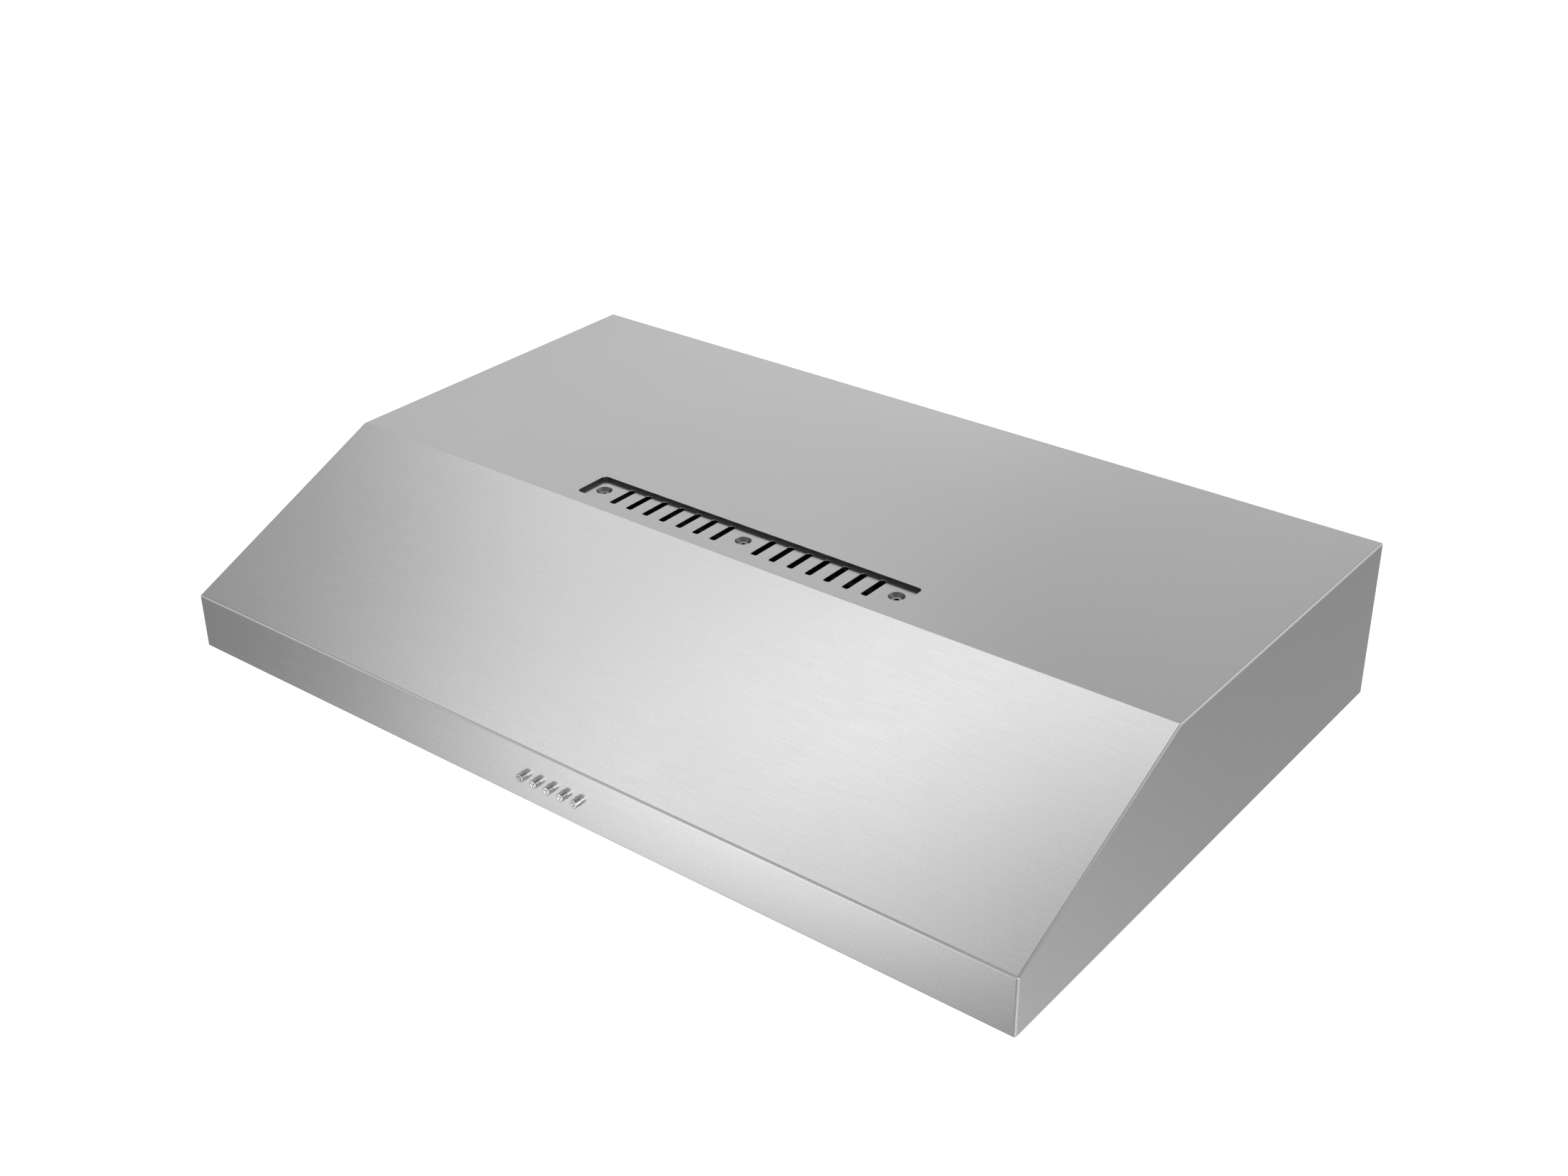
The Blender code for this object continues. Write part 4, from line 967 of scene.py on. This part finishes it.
def expanded_layer(s, x0, x1, y0, y1, z, long_pitch, short_pitch, strand, thick, wave, phase):
    """A layer of expanded aluminium: zigzag strands that meet their neighbours at the knuckles."""
    cols = int((x1 - x0) / (long_pitch / 2))
    rows = int((y1 - y0) / short_pitch)
    step_x = (x1 - x0) / cols
    step_y = (y1 - y0) / rows
    for r in range(rows):
        base = y0 + step_y * (r + 0.5)
        points = []
        for c in range(cols + 1):
            up = 1 if (c + r) % 2 else -1
            x = x0 + step_x * c
            y = base + up * (step_y / 2 - strand * 0.34)
            points.append((x, y, z + wave * math.sin(phase + x * 0.21 + r * 0.9) + up * thick * 0.30))
        rings = []
        for c, (x, y, zz) in enumerate(points):
            a = points[max(c - 1, 0)]
            b = points[min(c + 1, cols)]
            half = strand / 2
            # the strand stays square to the sheet; at a knuckle it is mitred along X
            rings.append(s.ring([(x, y - half, zz - thick / 2), (x, y + half, zz - thick / 2), (x, y + half, zz + thick / 2), (x, y - half, zz + thick / 2)]))
        s.stack(rings)
        s.face(*rings[0])
        s.face(*rings[-1])


def filter_pack(side, g):
    x0, x1 = sorted((g * FILTER_IN, g * FILTER_OUT))
    y0, y1, z0 = FILTER_FRONT, FILTER_REAR, FILTER_LOW
    mid = (x0 + x1) / 2
    s = Shape()
    lo, hi = (x0 + 11.0, y0 + 11.0), (x1 - 11.0, y1 - 11.0)
    expanded_layer(s, lo[0], hi[0], lo[1], hi[1], z0 + 1.75, 9.6, 4.7, 0.85, 0.42, 0.16, 0.0)
    expanded_layer(s, lo[0], hi[0], lo[1], hi[1], z0 + 2.95, 11.0, 5.3, 0.85, 0.42, 0.16, 1.9)
    expanded_layer(s, lo[0], hi[0], lo[1], hi[1], z0 + 5.15, 9.6, 4.7, 0.85, 0.42, 0.16, 0.7)
    expanded_layer(s, lo[0], hi[0], lo[1], hi[1], z0 + 6.30, 9.6, 4.7, 0.85, 0.42, 0.16, 2.6)
    s.object(f"{side}_mesh_layers", MESH_ALU, f"{side}_filter", (), 30.0, False)
    # the crushed inner layers as one ruffled sheet, which closes the view through the pad
    s = Shape()
    nx, ny = 96, 74
    notch = 12.5
    top, low = [], []
    rnd = random.Random(5 if g > 0 else 6)
    grid = [[(rnd.random() - 0.5) * 0.5 for _ in range(nx + 1)] for _ in range(ny + 1)]
    for j in range(ny + 1):
        y = y0 + 1.6 + (y1 - y0 - 3.2) * j / ny
        row_top, row_low = [], []
        for i in range(nx + 1):
            x = x0 + 1.6 + (x1 - x0 - 3.2) * i / nx
            edge = min(i, j, nx - i, ny - j)
            k = grid[j][i] * (1 if edge > 2 else 0)
            row_top += s.ring([(x, y, z0 + 4.45 + k)])
            row_low += s.ring([(x, y, z0 + 3.75 + k)])
        top.append(row_top)
        low.append(row_low)

    def kept(i, j):
        x = x0 + 1.6 + (x1 - x0 - 3.2) * (i + 0.5) / nx
        y = y0 + 1.6 + (y1 - y0 - 3.2) * (j + 0.5) / ny
        return not (abs(x - mid) < notch and y < y0 + 12.0)

    for j in range(ny):
        for i in range(nx):
            if not kept(i, j):
                continue
            s.face(top[j][i], top[j][i + 1], top[j + 1][i + 1], top[j + 1][i])
            s.face(low[j][i], low[j + 1][i], low[j + 1][i + 1], low[j][i + 1])
            for di, dj, p, q in ((-1, 0, (j, i), (j + 1, i)), (1, 0, (j, i + 1), (j + 1, i + 1)), (0, -1, (j, i), (j, i + 1)), (0, 1, (j + 1, i), (j + 1, i + 1))):
                if not (0 <= i + di < nx and 0 <= j + dj < ny) or not kept(i + di, j + dj):
                    s.face(top[p[0]][p[1]], top[q[0]][q[1]], low[q[0]][q[1]], low[p[0]][p[1]])
    s.object(f"{side}_mesh_core", MESH_ALU, f"{side}_filter", f"{side}_filter_mesh", 60.0, False)


def latch(side, g):
    s = Shape()
    x0, x1 = sorted((g * FILTER_IN, g * FILTER_OUT))
    mid, y0, z0 = (x0 + x1) / 2, FILTER_FRONT, FILTER_LOW
    plate(s, round_rect(mid - 24, y0 + 2.5, mid + 24, y0 + 27, 3.0, 6), [round_rect(mid - 14, y0 + 9.0, mid + 14, y0 + 12.0, 1.45, 5)], "Z", z0 - 1.5, z0 - 0.3, 0.35, 0.2, 3)
    # bridge and upturned nose
    outline = rounded_corners([(y0 - 1.6, z0 + 4.0), (y0 - 1.6, z0 - 1.5), (y0 + 3.0, z0 - 1.5), (y0 + 3.0, z0 - 0.3), (y0 + 0.4, z0 - 0.3), (y0 + 0.4, z0 + 4.0)], (0.5, 0.9, 0.1, 0.1, 0.25, 0.5), 4)
    rings = [s.ring([(x, u, v) for u, v in inset(outline, d)], w) for x, d, w in ((mid - 9, 0.15, 0), (mid - 8.85, 0, 1), (mid + 8.85, 0, 1), (mid + 9, 0.15, 0))]
    s.stack(rings)
    s.fill([rings[0]])
    s.fill([rings[-1]])
    # ribbed finger grip
    for k in range(3):
        y = y0 + 16.4 + 2.9 * k
        tall = 1.6 if k == 2 else 0.55
        section = [(y, z0 - 1.35), (y, z0 - 1.5 - tall * 0.6), (y + 0.5, z0 - 1.5 - tall), (y + 1.5, z0 - 1.5 - tall), (y + 2.0, z0 - 1.5 - tall * 0.6), (y + 2.0, z0 - 1.35)]
        rings = [s.ring([(x, u, v) for u, v in inset(section, d)], w) for x, d, w in ((mid - 20, 0.2, 0), (mid - 19.7, 0, 1), (mid + 19.7, 0, 1), (mid + 20, 0.2, 0))]
        s.stack(rings)
        s.fill([rings[0]])
        s.fill([rings[-1]])
    s.object(f"{side}_latch_plate", ZINC_BRIGHT, f"{side}_latch", f"{side}_filter_latch", 40.0)


for side, g in (("left", -1), ("right", 1)):
    filter_frame(side, g)
    filter_pack(side, g)
    latch(side, g)


def lamp(side, g):
    centre = (g * LAMP_X, LAMP_Y)
    z = PAN_Z - GAP
    s = Shape()
    outline = [(28.3, z - 0.75), (29.2, z - 0.9), (34.6, z - 0.9), (36.0, z - 0.35), (36.0, z), (30.2, z), (30.2, z + 17), (0, z + 17), (0, z + 15.8), (29.0, z + 15.8), (29.0, z + 1.2), (28.3, z + 1.2)]
    profile = soft_profile(outline, (0.15, 0.4, 0.8, 0.15, 0.1, 0.2, 1.5, 0, 0, 0.6, 0.1, 0.2), 4)
    lathe(s, profile, "Z", centre, 72, closed=True)
    s.object(f"{side}_lamp_bezel", STEEL_X, "canopy", f"{side}_lamp_housing", 40.0)
    s = Shape()
    rings = [(0, z - 0.70)]
    for k in range(1, 15):
        r = 27.2 * k / 14
        rings += [(r - 0.97 * 0.94, z - 0.68), (r - 0.30, z - 0.52), (r, z - 0.66)]
    rings += [(27.6, z - 0.62, 1), (27.9, z - 0.35), (27.9, z + 1.4), (27.7, z + 1.5), (0, z + 1.5)]
    lathe(s, rings, "Z", centre, 72)
    s.object(f"{side}_lamp_cover", LENS, "canopy", f"{side}_lamp_lens", 60.0, False)
    # board with its emitters
    s = Shape()
    lathe(s, [(0, z + 13.9), (27.8, z + 13.9), (28.0, z + 14.1, 1), (28.0, z + 15.3), (27.8, z + 15.5), (0, z + 15.5)], "Z", centre, 48)
    s.slot = 1
    for k in range(9):
        a = 2 * math.pi * k / 8
        cx, cy = (centre[0] + 17 * math.cos(a), centre[1] + 17 * math.sin(a)) if k < 8 else centre
        plate(s, round_rect(cx - 1.7, cy - 1.4, cx + 1.7, cy + 1.4, 0.3, 2), [], "Z", z + 12.9, z + 13.85, 0.15, 0.1, 2)
    s.object(f"{side}_led_array", [BOARD, LENS], "canopy", f"{side}_led_board", 40.0)


lamp("left", -1)
lamp("right", 1)


# =====================================================================================
# push buttons: plated cap with a dished face and an enamelled sign
# =====================================================================================
def sign_shapes(kind):
    """Closed outlines of a generic sign about the button's centre; each entry is (outline, holes)."""
    shapes = []
    if kind == "ring":
        shapes.append((circle(0, 0, 2.05, 48), [circle(0, 0, 1.38, 40)]))
        shapes.append((circle(0, 0, 0.62, 24), []))
    elif kind == "lamp":
        shapes.append((circle(0, 0.2, 1.62, 40), [circle(0, 0.2, 0.98, 36)]))
        shapes.append((rect(-0.62, -2.15, 0.62, -1.62), []))
    else:
        for k in range(3):
            a = 2 * math.pi * k / 3 + 0.5
            blade = []
            for t in range(9):
                q = t / 8
                blade.append((q, 0.22 + 0.86 * math.sin(math.pi * min(1.0, q * 1.02)) * (0.35 + 0.65 * q)))
            outline = [(0.42 + 1.68 * q, 0.02 - w * 0.22) for q, w in blade] + [(0.42 + 1.68 * q, w) for q, w in reversed(blade)]
            shapes.append(([(u * math.cos(a) - v * math.sin(a), u * math.sin(a) + v * math.cos(a)) for u, v in outline], []))
    return shapes


def button(n, x):
    tip = FRONT - BUTTON_OUT
    inner = FRONT + SHEET + 0.4
    stem = FRONT + 13.0
    s = Shape()
    outline = [(0, tip + 0.13), (2.35, tip + 0.13), (2.62, tip), (BUTTON_R, tip), (BUTTON_R, inner), (4.5, inner), (4.5, inner + 1.4), (2.6, inner + 1.4), (2.6, stem), (0, stem)]
    profile = soft_profile(outline, (0, 0.2, 0.1, 0.34, 0.1, 0.15, 0.15, 0.1, 0.3, 0), 5)
    turned = lathe(s, profile, "Y", (x, BUTTON_Z), 64)
    # Painted shade: the flank faces go to slot 1, the darker copy of the plating, standing in for the dark reflection
    # on the flanks.
    s.m = [1 if min(s.v[i][1] for i in face) > tip + 0.15 and max(s.v[i][1] for i in face) < FRONT + SHEET else 0 for face in s.f]
    s.object(f"push_button_{n}", [CHROME, BUTTON_FLANK_PAINTED_SHADE], f"button_{n}_body", f"button_{n}", 40.0, False)
    s = Shape()
    for outline, holes in sign_shapes({1: "ring", 5: "lamp"}.get(n, "fan")):
        shift_by = lambda path: [(x + u, BUTTON_Z + v) for u, v in path]
        plate(s, shift_by(outline), [shift_by(h) for h in holes], "Y", tip + 0.085, tip + 0.15, 0.02, 0.01, 1)
    s.object(f"button_sign_{n}", INK, f"button_{n}_body", (), 60.0, False)


for n, x in enumerate(BUTTON_X, 1):
    button(n, x)

# =====================================================================================
# pieces that keep their CAD shape, with rounded edges and their own finish
# =====================================================================================
for node, mat, width, slot in (
    ("switch_block", BLACK, 0.6, "black"), ("switch_bracket", ZINC, 0.25, "zinc"), ("led_driver", WHITE, 1.0, "white"),
    ("discharge_plenum", ZINC, 0.25, "zinc"), ("blower_bracket", ZINC, 0.25, "zinc"),
    ("terminal_box", ZINC, 0.25, "zinc"), ("terminal_box_cover", ZINC, 0.3, "zinc"),
    ("left_scroll_housing", BLACK, 0.3, "black"), ("right_scroll_housing", BLACK, 0.3, "black"),
):
    piece = refined(node, mat, width)
    if node == "discharge_plenum":
        # painted shade: the faces that look into the duct get a near-black lining, standing in for the shade inside the
        # plenum
        piece.data.materials.append(PLENUM_PAINTED_SHADE)
        corners = np.array([tuple(v.co) for v in piece.data.vertices])
        middle = Vector((corners.min(0) + corners.max(0)) / 2)
        for poly in piece.data.polygons:
            if poly.normal.dot(middle - poly.center) > 0.0:
                poly.material_index = 1


def cartridge(side, g):
    """Charcoal cartridge: moulded drum with a ribbed grille over the grains."""
    s = Shape()
    x_in, x_out, x_dish = g * 122.3, g * 149.0, g * 136.0
    at = lambda v: g * v
    profile = soft_profile([(44.5, at(146.2)), (44.5, at(149)), (48.0, at(149)), (48.0, at(122.3)), (37.0, at(122.3)), (37.0, at(146.2))], (0.3, 0.4, 1.6, 0.5, 0.4, 0.2), 4, True)
    lathe(s, profile, "X", (AXIS_Y, AXIS_Z), 72, closed=True)
    for k in range(3):
        r = 12.0 + 11.0 * k
        lathe(s, [(r, at(146.4)), (r + 1.6, at(146.4)), (r + 1.6, at(148.2)), (r, at(148.2))], "X", (AXIS_Y, AXIS_Z), 60, closed=True)
    for k in range(24):
        a = 2 * math.pi * k / 24
        c, d = math.cos(a), math.sin(a)
        r0, r1, h = (12.5, 45.0, 0.7)
        corner = lambda r, t, x: (at(x), AXIS_Y + r * c - t * d, AXIS_Z + r * d + t * c)
        a0 = s.ring([corner(r0, -h, 146.6), corner(r0, h, 146.6), corner(r0, h, 148.6), corner(r0, -h, 148.6)])
        a1 = s.ring([corner(r1, -h, 146.6), corner(r1, h, 146.6), corner(r1, h, 148.6), corner(r1, -h, 148.6)])
        s.bridge(a0, a1)
        s.face(*a0)
        s.face(*a1)
    lathe(s, [(0, at(146.3)), (12.6, at(146.3)), (12.6, at(147.6)), (11.0, at(148.8), 1), (0, at(148.9))], "X", (AXIS_Y, AXIS_Z), 40)
    # charcoal grains filling the drum inside the grille
    s.slot = 1
    lathe(s, [(0, at(136.5)), (36.7, at(136.5)), (36.7, at(144.6)), (30, at(145.4)), (15, at(144.9)), (0, at(145.3))], "X", (AXIS_Y, AXIS_Z), 48)
    s.object(f"{side}_charcoal_cartridge", [BLACK, CHARCOAL], "canopy", f"{side}_charcoal_filter", 40.0)


cartridge("left", -1)
cartridge("right", 1)


def capacitor():
    s = Shape()
    c = (70.0, -SHEET - GAP - 16.5)
    profile = soft_profile([(0, 62), (16.5, 62), (16.5, 120.6), (14.8, 121.2), (13.2, 120.0), (0, 120.0)], (0, 1.2, 0.4, 0.5, 0.4, 0), 4)
    lathe(s, profile, "X", c, 48)
    for dz in (-5, 5):
        plate(s, rect(c[0] - 0.4, c[1] + dz - 3.1, c[0] + 0.4, c[1] + dz + 3.1), [circle(c[0], c[1] + dz, 0.2, 8)][:0], "X", 120.0, 121.9, 0.1, 0.1, 2)
    s.object("run_capacitor_can", WHITE, "canopy", "run_capacitor", 40.0)


capacitor()


def gland():
    s = Shape()
    c = (-305.0, -28.0)
    # sealing body with a round flange inside the back panel and a threaded nose
    lathe(s, [(6.0, 134.2), (6.4, 134.0, 1), (9.6, 134.0)] + [(10.0 - 0.35 * (k % 2), 134.4 + 0.7 * k) for k in range(21)] + [(10.0, 149.2), (13.0, 149.2), (13.0, 151.2), (12.7, 151.3, 1), (10.0, 151.3), (10.0, 152.0), (9.8, 152.2, 1), (6.3, 152.2), (6.0, 152.0)],
          "Y", c, 48, closed=True)
    s.object("cable_gland_body", BLACK, "canopy", "cable_gland", 30.0)
    s = Shape()
    rings = []
    for r_in, y, w in ((True, 139.5, 0), (False, 139.5, 0), (False, 144.5, 0), (True, 144.5, 0)):
        if r_in:
            rings.append(s.ring([(u, y, v) for u, v in circle(*c, 10.3, 48)]))
        else:
            rings.append(s.ring([(c[0] + q * math.cos(a), y, c[1] + q * math.sin(a)) for a in (2 * math.pi * k / 48 for k in range(48))
                                 for q in (min(13.5, 12.35 / math.cos((a + math.pi / 6) % (math.pi / 3) - math.pi / 6)),)]))
    s.stack(rings + [rings[0]])
    s.object("gland_nut_hex", BLACK, "canopy", "gland_locknut", 25.0)


gland()

for node, mat in (
    ("motor_body", MOTOR), ("rotor_shaft", SHAFT), ("left_blower_wheel", GREY), ("right_blower_wheel", GREY),
    ("motor_lead", CABLE), ("switch_lead", CABLE), ("left_lamp_lead", CABLE), ("right_lamp_lead", CABLE),
):
    finish_node(node, mat)
for n in range(1, 6):
    finish_node(f"button_spring_{n}", SPRING)

# =====================================================================================
# studio: soft surround, pale floor, camera
# =====================================================================================
LOBES = [
    (-0.491, -0.713, -0.501, 110, 2.495),
    (0.592, -0.313, -0.743, 110, 2.288),
    (-0.335, 0.457, 0.824, 110, 1.534),
    (0.928, -0.372, -0.019, 14, 1.415),
    (0.741, -0.666, 0.081, 14, 1.376),
    (-0.491, 0.051, 0.870, 260, 1.337),
    (0.113, -0.664, -0.739, 110, 1.290),
    (0.854, 0.518, 0.034, 260, 1.158),
    (-0.325, 0.146, 0.934, 260, 1.035),
    (-0.411, 0.160, 0.898, 260, 0.990),
    (0.557, 0.370, -0.744, 14, 0.923),
    (-0.628, 0.268, 0.731, 110, 0.900),
    (-0.572, -0.046, 0.819, 260, 0.852),
    (-0.976, 0.205, -0.069, 14, 0.824),
    (-0.617, -0.082, 0.782, 260, 0.813),
    (-0.651, 0.110, 0.751, 260, 0.780),
    (-0.317, 0.831, -0.456, 14, 0.760),
    (-0.567, -0.428, 0.704, 110, 0.672),
    (-0.703, -0.452, 0.548, 260, 0.645),
    (0.690, 0.214, -0.692, 260, 0.622),
    (-0.497, 0.785, 0.369, 260, 0.615),
    (-0.621, 0.486, 0.615, 260, 0.612),
    (-0.600, -0.798, 0.056, 14, 0.593),
    (0.758, 0.538, 0.369, 14, 0.590),
    (-0.432, 0.901, -0.031, 14, 0.565),
    (-0.600, -0.564, -0.567, 260, 0.546),
    (-0.686, 0.595, 0.419, 110, 0.542),
    (-0.513, 0.662, 0.547, 260, 0.540),
    (0.340, 0.836, 0.431, 14, 0.521),
    (0.155, 0.493, 0.856, 14, 0.483),
    (-0.313, 0.882, 0.353, 110, 0.482),
    (0.004, -0.839, 0.544, 14, 0.450),
    (-0.715, -0.585, 0.384, 110, 0.450),
    (0.463, 0.886, -0.042, 40, 0.448),
    (-0.426, -0.084, 0.901, 260, 0.398),
    (-0.601, 0.716, 0.355, 260, 0.373),
    (-0.641, -0.205, -0.740, 260, 0.365),
    (0.421, 0.154, 0.894, 14, 0.342),
    (-0.361, 0.761, 0.538, 260, 0.336),
    (0.717, 0.338, 0.609, 110, 0.334),
    (-0.270, -0.430, 0.862, 40, 0.333),
    (-0.767, 0.011, 0.641, 260, 0.314),
    (-0.613, 0.128, -0.780, 260, 0.262),
    (0.739, 0.674, -0.015, 40, 0.241),
    (0.269, -0.963, 0.019, 14, 0.241),
    (-0.503, -0.805, 0.314, 260, 0.120),
    (0.399, -0.500, -0.769, 14, 0.072),
    (0.268, 0.836, -0.479, 260, 0.056),
    (-0.743, 0.107, -0.661, 260, 0.054),
    (-0.773, -0.475, -0.420, 260, 0.048),
]
SURROUND = 0.18


def studio():
    world = bpy.data.worlds.new("studio")
    bpy.context.scene.world = world
    world.use_nodes = True
    tree = world.node_tree
    tree.nodes.clear()
    new, link = tree.nodes.new, tree.links.new
    direction = new("ShaderNodeTexCoord").outputs["Generated"]
    total = None
    for x, y, z, sharp, gain in LOBES:
        dot = new("ShaderNodeVectorMath")
        dot.operation = "DOT_PRODUCT"
        link(direction, dot.inputs[0])
        dot.inputs[1].default_value = (x, y, z)
        fall = new("ShaderNodeMath")
        fall.operation = "MULTIPLY_ADD"
        link(dot.outputs["Value"], fall.inputs[0])
        fall.inputs[1].default_value = sharp
        fall.inputs[2].default_value = -sharp
        power = new("ShaderNodeMath")
        power.operation = "EXPONENT"
        link(fall.outputs[0], power.inputs[0])
        add = new("ShaderNodeMath")
        add.operation = "MULTIPLY_ADD"
        link(power.outputs[0], add.inputs[0])
        add.inputs[1].default_value = gain
        if total is None:
            add.inputs[2].default_value = SURROUND
        else:
            link(total, add.inputs[2])
        total = add.outputs[0]
    soft = new("ShaderNodeBackground")
    soft.inputs["Color"].default_value = (1, 1, 1, 1)
    link(total, soft.inputs["Strength"])
    plain = new("ShaderNodeBackground")
    plain.inputs["Color"].default_value = (1, 1, 1, 1)
    plain.inputs["Strength"].default_value = 1.0
    rays = new("ShaderNodeLightPath")
    mix = new("ShaderNodeMixShader")
    link(rays.outputs["Is Camera Ray"], mix.inputs[0])
    link(soft.outputs[0], mix.inputs[1])
    link(plain.outputs[0], mix.inputs[2])
    out = new("ShaderNodeOutputWorld")
    link(mix.outputs[0], out.inputs["Surface"])

    mesh = bpy.data.meshes.new("pale_floor")
    size, low, n = 40.0, -2.6, 8
    verts = [(size * (i / n - 0.5) * 2, size * (j / n - 0.5) * 2, low) for j in range(n + 1) for i in range(n + 1)]
    faces = [(j * (n + 1) + i, j * (n + 1) + i + 1, (j + 1) * (n + 1) + i + 1, (j + 1) * (n + 1) + i) for j in range(n) for i in range(n)]
    mesh.from_pydata(verts, [], faces)
    floor = bpy.data.objects.new("pale_floor", mesh)
    bpy.context.scene.collection.objects.link(floor)
    paint = Look("floor_paint", (0.9, 0.9, 0.9), 0.8, 0.0)
    paint.shader.inputs["Emission Color"].default_value = (1, 1, 1, 1)
    paint.shader.inputs["Emission Strength"].default_value = 0.62
    mesh.materials.append(paint.mat)
    floor.visible_glossy = False
    floor.visible_diffuse = False
    floor.visible_shadow = False

    data = bpy.data.cameras.new("camera")
    data.sensor_width, data.lens = 36.0, 46.4976
    data.clip_start, data.clip_end = 0.02, 120.0
    camera = bpy.data.objects.new("camera", data)
    camera.location = (0.84687, -1.14234, 0.69434)
    camera.rotation_euler = (1.062835, 0.009205, 0.664778)
    bpy.context.scene.collection.objects.link(camera)
    bpy.context.scene.camera = camera
    view = bpy.context.scene.view_settings
    view.view_transform, view.look, view.exposure, view.gamma = "Standard", "None", 0.0, 1.0


studio()
